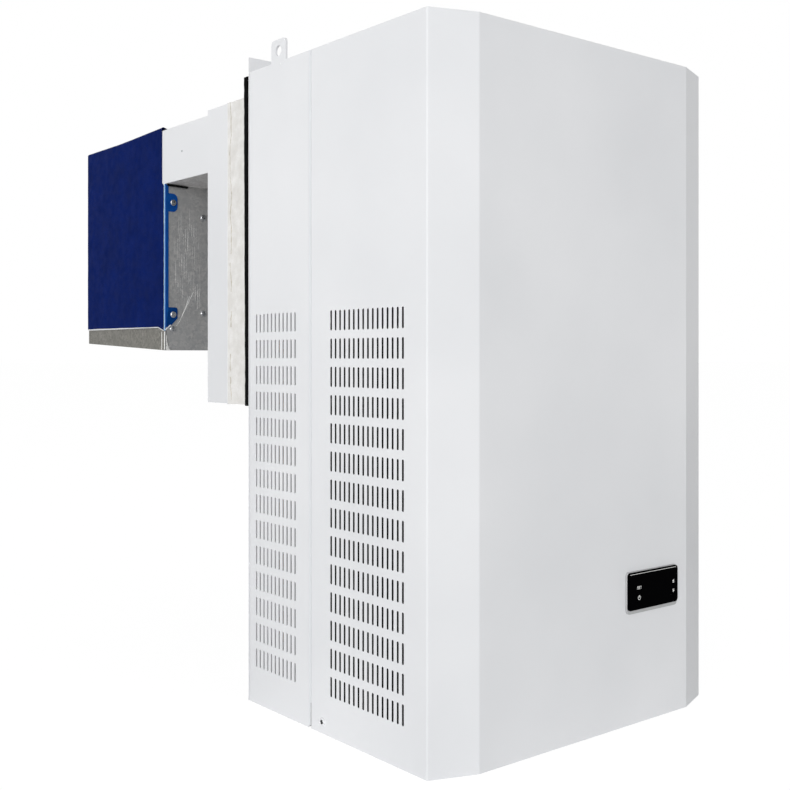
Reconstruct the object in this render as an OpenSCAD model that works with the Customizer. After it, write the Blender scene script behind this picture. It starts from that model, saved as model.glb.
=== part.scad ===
// Wall plug refrigeration unit: a slotted cabinet outside the cold room, a foam plug through its wall
// and an evaporator casing inside. The origin is the centre of the plug on the wall's outer face,
// +Z is up and the cabinet's front faces -Y.

/* [Cabinet] */
// Width of the cabinet across its sides
body_w = 430; // [416:2:480]
// Height of the cabinet without its lugs
body_h = 740; // [730:5:800]
// Depth of the cabinet from its front to the back of its rear panel
body_d = 341.5; // [332:0.5:380]
// Depth of the front cover, from the front to the seam
cover_d = 214; // [208:1:222]
// Width of the cover's chamfers, across the front
chamfer_w = 51; // [40:1:60]
// Depth of the cover's chamfers, along the sides
chamfer_d = 19; // [12:1:24]
// Thickness of the steel sheet
sheet = 1.2; // [0.8:0.1:1.5]
// Outer radius of the folds
bend_r = 2.4; // [2:0.1:4]
// Width of the folded flanges
flange = 12; // [8:1:16]
// Gap at the seam between the cover and the rear sides
seam_gap = 0.8; // [0.4:0.1:1.5]

/* [Air slots] */
// Length of a slot
slot_l = 21.5; // [16:0.5:24]
// Width of a slot
slot_w = 2.9; // [2:0.1:3.6]
// Height from one row of slots to the next
slot_pitch_z = 30; // [26:1:32]
// Distance from one slot to the next in a row
slot_pitch_y = 8; // [6:0.5:8]
// Rows of slots
slot_rows = 14; // [6:1:14]
// Slots in a row of the front cover
cover_slots = 16; // [8:1:16]
// Slots in a row of a rear side
side_slots = 11; // [5:1:11]
// Height of the lowest slot above the underside
slot_rise = 43; // [36:1:60]
// First slot behind the cover's front
cover_slot_in = 55; // [45:1:58]
// First slot behind the seam
side_slot_in = 30; // [24:1:30]

/* [Lifting and wall fixing] */
// Width of a lifting lug
lug_w = 30; // [24:1:40]
// Height of a lug above the cabinet
lug_h = 26; // [22:1:34]
// Thickness of a lug
lug_t = 2.5; // [2:0.5:4]
// Hole in a lug
lug_hole_d = 12; // [10:1:14]
// Lug's centre before the back of the rear panel
lug_in = 62; // [40:0.5:70]
// Height of the rear panel's upstand above the cabinet
upstand = 18; // [15:1:30]
// Wall screw hole in the upstand
wall_hole_d = 7; // [5:0.5:9]
// Distance between the wall screw holes
wall_hole_gap = 300; // [200:10:340]

/* [Plug and gasket] */
// Width of the plug
plug_w = 398; // [380:2:402]
// Height of the plug
plug_h = 372; // [364:2:380]
// Depth of the plug inside the wall
plug_d = 115.5; // [80:0.5:200]
// Underside of the plug above the underside of the cabinet
plug_rise = 347; // [340:1:352]
// Depth of the white skin round the cold end of the plug
skin_rim = 48; // [30:1:60]
// Thickness of the gasket against the wall
gasket_t = 9; // [6:1:14]
// Width of the gasket strips
gasket_w = 15.7; // [12:0.1:15.7]
// Outer radius of the sleeves through the plug
sleeve_r = 25; // [22:1:28]
// Wall of the sleeves
sleeve_wall = 2; // [1.5:0.5:3]
// Distance of the sleeves from the middle
sleeve_x = 90; // [70:1:110]

/* [Evaporator casing] */
// Width of the casing and of the neck
casing_w = 390; // [376:2:400]
// Depth of the casing into the cold room
casing_d = 250; // [240:2:300]
// Height of the casing's sides
casing_h = 270; // [264:1:290]
// Top of the casing below the top of the plug
casing_drop = 4; // [2:1:10]
// Air gap between the plug and the casing
gap_d = 126; // [110:2:150]
// Height of the neck over the air gap
neck_h = 74; // [70:1:80]
// Depth of the drip tray below the casing at the wall side
tray_h = 31.5; // [28:0.5:36]
// Rise of the tray's floor towards the room
tray_slope = 11; // [5:1:14]
// Width of the air intake in the evaporator plate
intake_w = 236; // [200:2:240]
// Height of the air intake
intake_h = 150; // [120:2:160]
// Reach of the casing's screw tabs from its side
tab_reach = 19.4; // [17:0.2:22]
// Height of a screw tab
tab_h = 25; // [20:0.5:30]
// Width of the casing's return flange
lip = 5.7; // [4:0.1:7]

/* [Coils] */
// Outer radius of the coil tubes
tube_r = 4.8; // [3.5:0.1:5.2]
// Thickness of a fin
fin_t = 0.5; // [0.3:0.1:0.8]
// Tubes in a row of the evaporator, an even number
evap_tubes = 8; // [6:2:8]
// Height from tube to tube in the evaporator
evap_pitch = 25; // [22:0.5:25]
// Fins of the evaporator
evap_fins = 38; // [20:1:44]
// Tubes in a row of the condenser, an even number
cond_tubes = 12; // [8:2:12]
// Height from tube to tube in the condenser
cond_pitch = 34; // [28:0.5:34]
// Fins of the condenser
cond_fins = 44; // [20:1:48]
// Distance between the two rows of tubes
row_pitch = 24; // [20:1:26]

/* [Fans] */
// Tip radius of the condenser fan
cond_fan_r = 108; // [90:1:112]
// Tip radius of the evaporator fan
evap_fan_r = 98; // [80:1:100]
// Running gap round the blade tips
tip_gap = 5; // [3:0.5:8]
// Blades of a fan
fan_blade_count = 5; // [3:1:7]
// Radius of the fan motors
motor_r = 36; // [30:1:40]
// Length of the fan motors
motor_l = 52; // [40:1:56]
// Radius of the fan shafts
shaft_r = 4; // [3:0.5:5]

/* [Compressor] */
// Radius of the compressor shell
shell_r = 74; // [60:1:76]
// Height of the compressor shell
shell_h = 176; // [150:1:190]

/* [Controller] */
// Width of the controller's face
panel_w = 87.5; // [80:0.5:96]
// Height of the black face
panel_h = 41.5; // [38:0.5:46]
// Height of the light band under the face
band_h = 4; // [2:0.5:6]
// Width of the controller's housing behind the front
housing_w = 71; // [64:1:74]
// Height of the housing
housing_h = 29; // [26:1:32]
// Depth of the housing
housing_d = 58; // [40:1:60]
// Travel of a key
key_travel = 0.4; // [0.2:0.1:0.6]

/* [Hidden] */
$fn = 48;

// Overrun of the cutting tools
cut = 1;
// Gap where one fixed piece seats against another
seat = 0.2;
// Gap beside a fixed piece that sits inside a fold
corner_seat = 0.5;
// Radial gap round a tube or a shaft
fit = 0.05;
// Facets of a fold
fold_steps = 3;

// Main planes of the unit
half_w = body_w / 2;
back_y = -gasket_t;
front_y = back_y - body_d;
seam_y = front_y + cover_d;
plug_top = plug_h / 2;
base_z = -plug_top - plug_rise;
top_z = base_z + body_h;
panel_y = back_y - sheet;
pan_z = base_z + sheet + seat;
floor_z = pan_z + sheet;
skin_y = plug_d - skin_rim;
plate_y = plug_d + gap_d;
room_y = plate_y + casing_d;
casing_top = plug_top - casing_drop;
casing_low = casing_top - casing_h;
neck_low = casing_top - neck_h;
tray_low = casing_low - tray_h;
half_casing = casing_w / 2;
inner_half = half_casing - sheet - seat;
sleeve_z = casing_top - neck_h / 2;

// Sizes of the base pan and of the front cover's fixing
pan_rim = 24;
screw_rise = 13;
screw_in = 24;
screw_r = 2;
screw_head_r = 4.2;
screw_head_h = 1.8;
screw_l = 7;
corner_clip = 3.5;

// Sizes of the lugs, of the gasket and of the plug's drain
lug_tail = 34;
lug_round = 5;
gasket_over = 17.5;
gasket_under = 16;
gasket_inset = 6;
gasket_gap = 0.3;
skin_t = 0.8;
sleeve_out = 5;
drain_r = 10;
drain_wall = 2;
drain_rise = 36;
drain_bend = 24;

// Sizes round the casing's wall side
tab_in_top = 12.5;
tab_in_low = 2.5;
tab_round = 7;
tab_clip = 10;
tab_clip_round = 3;
tab_low_share = 0.6;
tab_screw_in = 12.4;
inner_screw_in = 60;
inner_screw_top = 42;
inner_screw_low = 20;
tray_screw_drop = 2;
rim_up = 8;
corner_drop = 5;
corner_run = 11;
opening_round = 10;

// Sizes of the sensor and its lead
lead_r = 1.4;
lead_bend = 3.5;
lead_start = 8;
lead_run = 32;
lead_drop = 3.6;
lead_off = 5;
lead_in = 10;
probe_r = 3;
probe_l = 30;
probe_x = 110;

// Places and sizes of the coils
evap_half = 150;
evap_in = 18;
evap_drop = 16;
coil_edge = 12;
end_t = 1;
end_lip = 20;
cond_in = 22;
cond_rise = 16;
cond_half = 122;
cond_back = 42;
heater_r = 3.5;
heater_half = 140;

// Sizes of the fans
ring_t = 1.5;
ring_l = 16;
shroud_d = 44;
hub_r = 26;
hub_l = 30;
hub_gap = 3;
bore_l = 24;
blade_t = 2;
blade_curve_r = 90;
blade_half_turn = 22;
blade_pitch = 32;
blade_root_share = 0.9;
arm_w = 10;
arm_t = 3;
arm_out = 9;
motor_ring = 3;
motor_lip = 3;
motor_tail_share = 0.45;
guard_wire_r = 1.6;
guard_rings = 5;
guard_off = 10;
guard_spokes = 4;
guard_over = 10;
guard_spoke_share = 0.8;
guard_post_share = 1.4;

// Sizes of the compressor and of its seat
shell_in = 30;
shell_y = -190;
shell_lift = 26;
shell_round = 30;
seam_ring = 3;
seam_ring_h = 4;
foot_t = 3;
foot_x = 68;
foot_y = 48;
foot_round = 14;
foot_saddle_h = 12;
foot_saddle_r = 46;
grommet_r = 13;
grommet_neck = 8.5;
grommet_up = 5;
bolt_r = 4;
bolt_head_r = 7.5;
bolt_head_h = 5;
bolt_out = 5;
nut_sides = 6;
stub_r = 6.5;
stub_h = 10;
stub_in = 36;
shell_seam_share = 0.55;
cap_w = 52;
cap_h = 64;
cap_d = 20;
cap_round = 5;

// Sizes of the pipes and of the drier
suction_r = 6;
discharge_r = 4;
liquid_r = 3;
pipe_bend = 13;
liquid_bend = 8;
pipe_side = 11;
pipe_up = 13;
neck_mid_share = 0.45;
pipe_y_out = 15;
outlet_up = 18;
drier_r = 10;
drier_l = 70;
drier_cone = 12;
drier_x = 40;
drier_up = 20;
header_x = 18;

// Sizes of the condensate tray and of the electrical box
basin_w = 120;
basin_d = 50;
basin_h = 18;
basin_back = 16;
box_w = 170;
box_h = 140;
box_d = 72;
box_in = 20;
box_gap = 10;
block_w = 60;
block_h = 22;
block_d = 18;
block_ways = 6;
way_share = 0.7;
contactor_w = 44;
contactor_h = 56;
contactor_d = 48;
contactor_step = 12;
capacitor_r = 15;
capacitor_l = 54;
part_gap = 14;
gland_r = 9;
gland_nut_r = 13;
gland_l = 20;
gland_nut = 6;
gland_bore = 5;
gland_in = 50;
capacitor_cap_share = 0.35;

// Sizes of the controller
panel_x = 98.7;
panel_rise = 122.5;
panel_round = 4;
rim_t = 2.6;
face_t = 1.4;
face_line = 0.5;
key_w = 9;
key_h = 8;
key_round = 1.6;
key_gap = 0.3;
key_t = 2.4;
key_left_in = 19;
key_right_in = 8;
key_top_in = 17.5;
key_step = 11.2;

// Places worked out from the sizes above
lug_y = back_y - lug_in;
drain_z = drain_rise - plug_top;
compressor_x = half_w - shell_in - shell_r;
shell_z = floor_z + shell_lift;
stub_top = shell_z + shell_h + stub_h;
tray_y = plate_y + sheet + seat;
tray_rim = casing_low + rim_up;
intake_z = (neck_low + casing_low) / 2;
tab_screw_low = casing_low + tab_in_low + tab_h * tab_low_share;
tab_screw_top = neck_low - tab_in_top - tab_h / 2;
plate_screws = [
    [tab_screw_in - half_casing, tab_screw_top], [tab_screw_in - half_casing, tab_screw_low],
    [inner_screw_in - half_casing, neck_low - inner_screw_top],
    [inner_screw_in - half_casing, casing_low + inner_screw_low],
    [tab_screw_in - half_casing, casing_low - tray_screw_drop]
];
lead_x = lead_start - half_casing;
lead_z = neck_low - lead_drop;
probe_top = lead_z - 2 * lead_bend;
drain_y = tray_y + 2 * drain_bend;
drain_top = tray_low + tray_slope * (drain_y - tray_y) / (room_y - tray_y) + sheet;
drain_end_y = panel_y - basin_back - basin_d / 2;
drain_low = floor_z + basin_h;
lead_y = plate_y - lead_off;
box_left = -half_w + box_in;
gland_x = box_left + box_w - gland_in;
box_low = sleeve_z - sleeve_r - box_gap - box_h;
box_back = panel_y - seat;
evap_near = plate_y + evap_in + sheet;
evap_y = evap_near + coil_edge + row_pitch / 2;
evap_z = neck_low - evap_tubes * evap_pitch / 2 - evap_drop / 2;
evap_end_x = evap_half + end_t + seat + tube_r;
evap_top_z = evap_z + (evap_tubes - 1) / 2 * evap_pitch;
evap_fan_z = (tray_rim + casing_top) / 2;
evap_motor_y = room_y - ring_l - hub_l + hub_gap * 2;
cond_x = -half_w + cond_in + coil_edge + row_pitch / 2;
cond_y = panel_y - cond_back - cond_half;
cond_z = floor_z + cond_rise + cond_tubes * cond_pitch / 2;
cond_far = cond_x + coil_edge + row_pitch / 2 + seat + shroud_d;
cond_fan_z = cond_z;
cond_motor_x = cond_far + hub_l / 2 + hub_gap;
cond_end_y = cond_y + cond_half + end_t + seat + tube_r;
cond_top_z = cond_z + (cond_tubes - 1) / 2 * cond_pitch;
pipe_y = panel_y - pipe_y_out;
outlet_z = cond_top_z + outlet_up;
drier_z = outlet_z + drier_up + drier_l / 2;
face_top = base_z + panel_rise + band_h + panel_h;
face_front = front_y - seat - rim_t - face_t;
housing_z = face_top - (panel_h + band_h) / 2;
drain_path = [
    [0, drain_y, drain_top], [0, drain_y, drain_z], [0, drain_end_y, drain_z], [0, drain_end_y, drain_low]
];
lead_path = [
    [-sleeve_x, box_back - box_d / 2, box_low + box_h - lead_bend],
    [-sleeve_x, box_back - box_d / 2, sleeve_z], [-sleeve_x, lead_y, sleeve_z], [lead_x, lead_y, sleeve_z],
    [lead_x, lead_y, lead_z], [lead_x + lead_run, lead_y, lead_z],
    [lead_x + lead_run, plate_y + lead_in, lead_z], [-probe_x, plate_y + lead_in, lead_z],
    [-probe_x, plate_y + lead_in, probe_top]
];
key_places = [
    [key_left_in - panel_w / 2, 0], [key_left_in - panel_w / 2, -key_step],
    [panel_w / 2 - key_right_in, 0], [panel_w / 2 - key_right_in, -key_step]
];

function unit(v) = v / norm(v);
function left_of(v) = [-v.y, v.x] / norm(v);

// Points and left normals along a corner b of a path a, b, c that is bent to radius r
function bend(a, b, c, r) =
    let (
        u = unit(a - b),
        v = unit(c - b),
        half = acos(u * v) / 2,
        mid = b + unit(u + v) * r / sin(half),
        p = b + u * r / tan(half) - mid,
        q = b + v * r / tan(half) - mid,
        start = atan2(p.y, p.x),
        raw = atan2(q.y, q.x) - start,
        turn = raw > 180 ? raw - 360 : raw < -180 ? raw + 360 : raw
    )
    [for (i = [0:fold_steps])
        let (w = start + turn * i / fold_steps, d = [cos(w), sin(w)])
        [mid + r * d, turn > 0 ? -d : d]];

// The same for a whole open path, whose corners all have radius r
function bent_line(p, r) = concat(
    [[p[0], left_of(p[1] - p[0])]],
    [for (i = [1:len(p) - 2]) each bend(p[i - 1], p[i], p[i + 1], r)],
    [[p[len(p) - 1], left_of(p[len(p) - 1] - p[len(p) - 2])]]
);

// Closed outline with its corners rounded to radius r
function rounded(p, r) = [
    for (i = [0:len(p) - 1])
        for (q = bend(p[(i + len(p) - 1) % len(p)], p[i], p[(i + 1) % len(p)], r)) q[0]
];

function rectangle(w, h) = [[-w / 2, -h / 2], [w / 2, -h / 2], [w / 2, h / 2], [-w / 2, h / 2]];

// Folded sheet: path is one face of it, and its thickness lies on the path's left
module folded(path, t = sheet, r = bend_r) {
    line = bent_line(path, r);
    polygon(concat(
        [for (q = line) q[0]],
        [for (i = [len(line) - 1:-1:0]) line[i][0] + line[i][1] * t]
    ));
}

module block(from, to) {
    translate(from)
        cube(to - from);
}

// Profiles drawn in X and Y, in Y and Z, or in X and Z, made as long as the way from one place to another
module along_z(from, to) {
    translate([0, 0, from])
        linear_extrude(to - from)
            children();
}

module along_x(from, to) {
    translate([from, 0, 0])
        rotate([90, 0, 90])
            linear_extrude(to - from)
                children();
}

module along_y(from, to) {
    translate([0, to, 0])
        rotate([90, 0, 0])
            linear_extrude(to - from)
                children();
}

// Round bars and holes along an axis
module bar_x(r, from, to, y, z) {
    translate([from, y, z])
        rotate([0, 90, 0])
            cylinder(r = r, h = to - from);
}

module bar_y(r, from, to, x, z) {
    translate([x, to, z])
        rotate([90, 0, 0])
            cylinder(r = r, h = to - from);
}

module bar_z(r, from, to, x, y) {
    translate([x, y, from])
        cylinder(r = r, h = to - from);
}

// A piece and its mirror image on the other side
module both_sides() {
    children();
    mirror([1, 0, 0])
        children();
}

// Tube along points whose legs are square to each other and parallel to the axes
module pipe_run(p, r, bend_at) {
    last = len(p) - 1;
    for (i = [0:last - 1]) {
        d = unit(p[i + 1] - p[i]);
        from = p[i] + d * (i == 0 ? 0 : bend_at);
        to = p[i + 1] - d * (i + 1 == last ? 0 : bend_at);
        translate(from)
            rotate([0, acos(d.z), atan2(d.y, d.x)])
                cylinder(r = r, h = norm(to - from));
    }
    for (i = [1:last - 1]) {
        u = unit(p[i - 1] - p[i]);
        v = unit(p[i + 1] - p[i]);
        n = cross(v, u);
        c = p[i] + (u + v) * bend_at;
        multmatrix([
            [-v.x, -u.x, n.x, c.x],
            [-v.y, -u.y, n.y, c.y],
            [-v.z, -u.z, n.z, c.z],
            [0, 0, 0, 1]
        ])
            rotate_extrude(angle = 90)
                translate([bend_at, 0])
                    circle(r = r);
    }
}

// Outline of the cover seen from above, at a distance inside its outer face, open towards the rear
function cover_plan(inset, rear) =
    let (
        d = unit([chamfer_w, -chamfer_d]),
        n = left_of(d),
        side = half_w - inset,
        side_y = front_y + chamfer_d + inset * (1 - n.x) / n.y,
        nose = half_w - chamfer_w - inset * (1 - n.y) / n.x
    )
    [
        [-side, rear], [-side, side_y], [-nose, front_y + inset],
        [nose, front_y + inset], [side, side_y], [side, rear]
    ];

// A slot with round ends, drawn upright
module slot() {
    reach = (slot_l - slot_w) / 2;
    square([slot_w, 2 * reach], center = true);
    for (y = [-reach, reach])
        translate([0, y])
            circle(r = slot_w / 2);
}

// Slots through both sides of the cabinet
module air_slots(first_y, columns) {
    along_x(-half_w - cut, half_w + cut)
        for (i = [0:columns - 1])
            for (k = [0:slot_rows - 1])
                translate([first_y + i * slot_pitch_y, base_z + slot_rise + slot_l / 2 + k * slot_pitch_z])
                    slot();
}

// Room that the base pan takes up inside the folded panels
module pan_space() {
    along_z(base_z - cut, floor_z + pan_rim + seat)
        polygon(cover_plan(sheet, panel_y - sheet));
}

module screw_y(x, z, face, l = screw_l) {
    bar_y(screw_r, face - cut / 2, face + l, x, z);
    bar_y(screw_head_r, face - screw_head_h, face, x, z);
}

module base_pan() {
    rear = panel_y - sheet - 2 * seat;
    color("gainsboro")
        difference() {
            along_z(pan_z, floor_z + pan_rim)
                polygon(cover_plan(sheet + seat, rear));
            along_z(floor_z, floor_z + pan_rim + cut)
                polygon(cover_plan(2 * sheet + seat, rear - sheet));
            for (x = [-foot_x, foot_x])
                for (y = [-foot_y, foot_y])
                    bar_z(bolt_r + fit, pan_z - cut, floor_z + cut, compressor_x + x, shell_y + y);
            bar_x(
                screw_r + fit, -half_w - cut, half_w + cut,
                seam_y - screw_in, base_z + screw_rise
            );
        }
}

module back_panel() {
    color("white")
        difference() {
            along_y(panel_y, back_y)
                polygon([
                    [-half_w, base_z], [half_w, base_z],
                    [half_w, top_z + upstand], [-half_w, top_z + upstand]
                ]);
            both_sides()
                bar_y(sleeve_r + fit, panel_y - cut, back_y + cut, sleeve_x, sleeve_z);
            both_sides()
                bar_y(wall_hole_d / 2, panel_y - cut, back_y + cut, wall_hole_gap / 2, top_z + upstand / 2);
            bar_y(drain_r + fit, panel_y - cut, back_y + cut, 0, drain_z);
        }
}

// Left rear side, a channel folded in at the seam and at the rear panel
module rear_side() {
    fore = seam_y + seam_gap / 2;
    rear = panel_y - seat;
    difference() {
        along_z(base_z, top_z)
            folded([[flange - half_w, rear], [-half_w, rear], [-half_w, fore], [flange - half_w, fore]]);
        pan_space();
        air_slots(seam_y + side_slot_in, side_slots);
        along_x(-half_w - cut, flange - half_w + cut)
            polygon([
                [fore - cut, base_z - cut], [fore + corner_clip + cut, base_z - cut],
                [fore - cut, base_z + corner_clip + cut]
            ]);
    }
}

module rear_side_left() {
    color("white")
        rear_side();
}

module rear_side_right() {
    color("white")
        mirror([1, 0, 0])
            rear_side();
}

module rear_top_panel() {
    fore = seam_y + seam_gap / 2 + sheet + corner_seat;
    rear = panel_y - sheet - seat - corner_seat;
    side = half_w - sheet - corner_seat;
    color("white")
        difference() {
            along_x(-side, side)
                folded([[rear, top_z - flange], [rear, top_z], [fore, top_z], [fore, top_z - flange]]);
            both_sides()
                block(
                    [-side - cut, lug_y - lug_w / 2 - seat, top_z - flange],
                    [-half_w + sheet + lug_t + 2 * seat, lug_y + lug_w / 2 + seat, top_z + cut]
                );
            bar_z(gland_r + fit, top_z - sheet - cut, top_z + cut, gland_x, lug_y);
        }
}

module front_cover() {
    rear = seam_y - seam_gap / 2;
    plan = cover_plan(0, rear);
    color("white")
        difference() {
            union() {
                along_z(base_z, top_z)
                    folded(concat([[flange - half_w, rear]], plan, [[half_w - flange, rear]]));
                along_z(top_z - sheet, top_z)
                    polygon(cover_plan(sheet, rear));
            }
            pan_space();
            air_slots(front_y + cover_slot_in, cover_slots);
            block(
                [panel_x - housing_w / 2 - seat, front_y - cut, housing_z - housing_h / 2 - seat],
                [panel_x + housing_w / 2 + seat, front_y + sheet + cut, housing_z + housing_h / 2 + seat]
            );
            bar_x(
                screw_r + fit, -half_w - cut, half_w + cut,
                seam_y - screw_in, base_z + screw_rise
            );
        }
    color("white")
        cover_foot();
}

// Inward flange at the foot of the cover, welded into its folds
module cover_foot() {
    rear = seam_y - seam_gap / 2;
    along_z(base_z, base_z + sheet)
        difference() {
            polygon(cover_plan(sheet, rear - flange));
            polygon(cover_plan(sheet + flange, rear));
        }
}

module cover_screws() {
    color("white")
        both_sides() {
            bar_x(screw_head_r, -half_w - screw_head_h, -half_w, seam_y - screw_in, base_z + screw_rise);
            bar_x(screw_r, -half_w, screw_l - half_w, seam_y - screw_in, base_z + screw_rise);
        }
}

module lifting_lugs() {
    outer = -half_w + sheet + seat;
    color("white")
        both_sides()
            difference() {
                along_x(outer, outer + lug_t)
                    polygon(rounded([
                        [lug_y - lug_w / 2, top_z - lug_tail], [lug_y + lug_w / 2, top_z - lug_tail],
                        [lug_y + lug_w / 2, top_z + lug_h], [lug_y - lug_w / 2, top_z + lug_h]
                    ], lug_round));
                bar_x(lug_hole_d / 2, outer - cut, outer + lug_t + cut, lug_y, top_z + lug_h / 2);
            }
}

// Four butted strips round the plug
module wall_gasket() {
    inner = plug_w / 2 + gasket_gap;
    low = -plug_top - seat;
    high = plug_top + gasket_over;
    color("black") {
        both_sides()
            block([-inner - gasket_w, back_y, low], [-inner, 0, high]);
        block([-inner + seat, back_y, plug_top + seat], [inner - seat, 0, high]);
        block(
            [gasket_inset - plug_w / 2, back_y, low - gasket_under],
            [plug_w / 2 - gasket_inset, 0, low]
        );
    }
}

module plug_bores(from, to) {
    both_sides()
        bar_y(sleeve_r + fit, from, to, sleeve_x, sleeve_z);
    bar_y(drain_r + fit, from, to, 0, drain_z);
}

module plug_foam() {
    half = plug_w / 2;
    step = skin_t + seat;
    color("ivory")
        difference() {
            union() {
                block([-half, back_y, -plug_top], [half, skin_y - seat, plug_top]);
                block(
                    [step - half, skin_y - 2 * seat, step - plug_top],
                    [half - step, plug_d - step, plug_top - step]
                );
            }
            plug_bores(back_y - cut, plug_d + cut);
        }
}

module plug_skin() {
    half = plug_w / 2;
    color("whitesmoke")
        difference() {
            block([-half, skin_y, -plug_top], [half, plug_d, plug_top]);
            block(
                [skin_t - half, skin_y - cut, skin_t - plug_top],
                [half - skin_t, plug_d - skin_t, plug_top - skin_t]
            );
            plug_bores(skin_y, plug_d + cut);
        }
}

module plug_sleeves() {
    color("dimgray")
        both_sides()
            difference() {
                bar_y(sleeve_r, panel_y - sleeve_out, plug_d + sleeve_out, sleeve_x, sleeve_z);
                bar_y(
                    sleeve_r - sleeve_wall, panel_y - sleeve_out - cut, plug_d + sleeve_out + cut,
                    sleeve_x, sleeve_z
                );
            }
}

module neck_cover() {
    color("white")
        along_y(plug_d + seat, plate_y - sheet - 2 * seat)
            folded([
                [half_casing, neck_low], [half_casing, casing_top],
                [-half_casing, casing_top], [-half_casing, neck_low]
            ]);
}

module neck_floor() {
    side = inner_half;
    color("darkgray")
        difference() {
            along_y(plug_d + seat, plate_y - sheet - 2 * seat)
                folded([
                    [-side, neck_low + flange], [-side, neck_low],
                    [side, neck_low], [side, neck_low + flange]
                ]);
            bar_z(lead_r + fit, neck_low - cut, neck_low + sheet + cut, lead_x, lead_y);
        }
}

// Outline of the upper screw tab on the left side, from its lower edge up
module tab_outline(low) {
    polygon(rounded([
        [-half_casing + sheet, low], [tab_reach - half_casing, low],
        [tab_reach - half_casing, low + tab_h], [-half_casing + sheet, low + tab_h]
    ], tab_round));
    translate([-half_casing, low])
        square([lip + tab_round, tab_h]);
}

// Outline of the lower screw tab, whose lower outer corner is cut off
module clipped_tab_outline(low) {
    polygon(rounded([
        [-half_casing + sheet, low], [tab_reach - half_casing - tab_clip, low],
        [tab_reach - half_casing, low + tab_clip], [tab_reach - half_casing, low + tab_h],
        [-half_casing + sheet, low + tab_h]
    ], tab_clip_round));
    translate([-half_casing, low])
        square([lip + tab_clip_round, tab_h]);
}

module evaporator_casing() {
    near = plate_y - sheet - seat;
    color("midnightblue")
        difference() {
            union() {
                along_y(near, room_y)
                    folded([
                        [half_casing, casing_low], [half_casing, casing_top],
                        [-half_casing, casing_top], [-half_casing, casing_low]
                    ]);
                both_sides() {
                    along_y(near, plate_y - seat) {
                        translate([-half_casing, casing_low])
                            square([lip, neck_low - casing_low - seat]);
                        clipped_tab_outline(casing_low + tab_in_low);
                        tab_outline(neck_low - tab_in_top - tab_h);
                    }
                    along_x(-half_casing, -half_casing + sheet)
                        polygon([
                            [near, casing_low + corner_drop], [near, casing_low - corner_drop],
                            [near + corner_run, casing_low], [near + corner_run, casing_low + corner_drop]
                        ]);
                }
            }
            both_sides() {
                bar_y(screw_r + fit, near - cut, plate_y + cut, tab_screw_in - half_casing, tab_screw_low);
                bar_y(screw_r + fit, near - cut, plate_y + cut, tab_screw_in - half_casing, tab_screw_top);
                along_z(casing_low - corner_drop - cut, neck_low - seat)
                    difference() {
                        translate([-half_casing - cut, near - cut])
                            square(bend_r + cut);
                        translate([-half_casing + bend_r, near + bend_r])
                            circle(r = bend_r);
                    }
            }
        }
}

module evaporator_plate() {
    color("darkgray")
        difference() {
            along_y(plate_y, plate_y + sheet)
                difference() {
                    polygon([
                        [-inner_half, tray_low], [inner_half, tray_low],
                        [inner_half, neck_low - seat], [-inner_half, neck_low - seat]
                    ]);
                    translate([0, intake_z])
                        polygon(rounded(rectangle(intake_w, intake_h), opening_round));
                }
            both_sides()
                for (p = plate_screws)
                    bar_y(screw_r + fit, plate_y - cut, plate_y + sheet + cut, p.x, p.y);
            bar_y(lead_r + fit, plate_y - cut, plate_y + sheet + cut, lead_x + lead_run, lead_z);
        }
}

module casing_screws() {
    color("silver")
        both_sides()
            for (i = [0:len(plate_screws) - 1]) {
                on_tab = i < 2;
                screw_y(plate_screws[i].x, plate_screws[i].y, plate_y - (on_tab ? sheet + seat : 0));
            }
}

// Side view of the tray's inside or outside, inset by the sheet
module tray_side(inset, high) {
    polygon([
        [tray_y + inset, tray_low + inset], [room_y - inset, tray_low + tray_slope + inset],
        [room_y - inset, high], [tray_y + inset, high]
    ]);
}

module drip_tray() {
    tray_screw = plate_screws[4];
    color("darkgray")
        difference() {
            along_x(-inner_half, inner_half)
                tray_side(0, tray_rim);
            along_x(sheet - inner_half, inner_half - sheet)
                tray_side(sheet, tray_rim + cut);
            both_sides()
                bar_y(screw_r + fit, tray_y - cut, tray_y + sheet + cut, tray_screw.x, tray_screw.y);
            bar_z(drain_r + fit, tray_low - cut, tray_low + tray_h, 0, drain_y);
        }
}

module drain_pipe() {
    color("dimgray")
        difference() {
            pipe_run(drain_path, drain_r, drain_bend);
            pipe_run(drain_path, drain_r - drain_wall, drain_bend);
            bar_z(drain_r - drain_wall, drain_low - cut, drain_low + cut, 0, drain_end_y);
            bar_z(drain_r - drain_wall, drain_top - cut, drain_top + cut, 0, drain_y);
        }
}

// Coils lie along X, with their rows of tubes side by side along Y and stacked along Z
module tube_places(count, pitch) {
    for (y = [-row_pitch / 2, row_pitch / 2])
        for (i = [0:count - 1])
            translate([y, (i - (count - 1) / 2) * pitch])
                children();
}

module coil_sheet(t, count, pitch) {
    linear_extrude(t)
        difference() {
            square([2 * coil_edge + row_pitch, count * pitch], center = true);
            tube_places(count, pitch)
                circle(r = tube_r + fit);
        }
}

module coil_fins(half, fins, count, pitch) {
    step = (2 * half - fin_t) / (fins - 1);
    for (i = [0:fins - 1])
        translate([i * step - half, 0, 0])
            rotate([90, 0, 90])
                coil_sheet(fin_t, count, pitch);
}

module return_bend(pitch) {
    rotate_extrude(angle = 180)
        translate([pitch / 2, 0])
            circle(r = tube_r);
}

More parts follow.
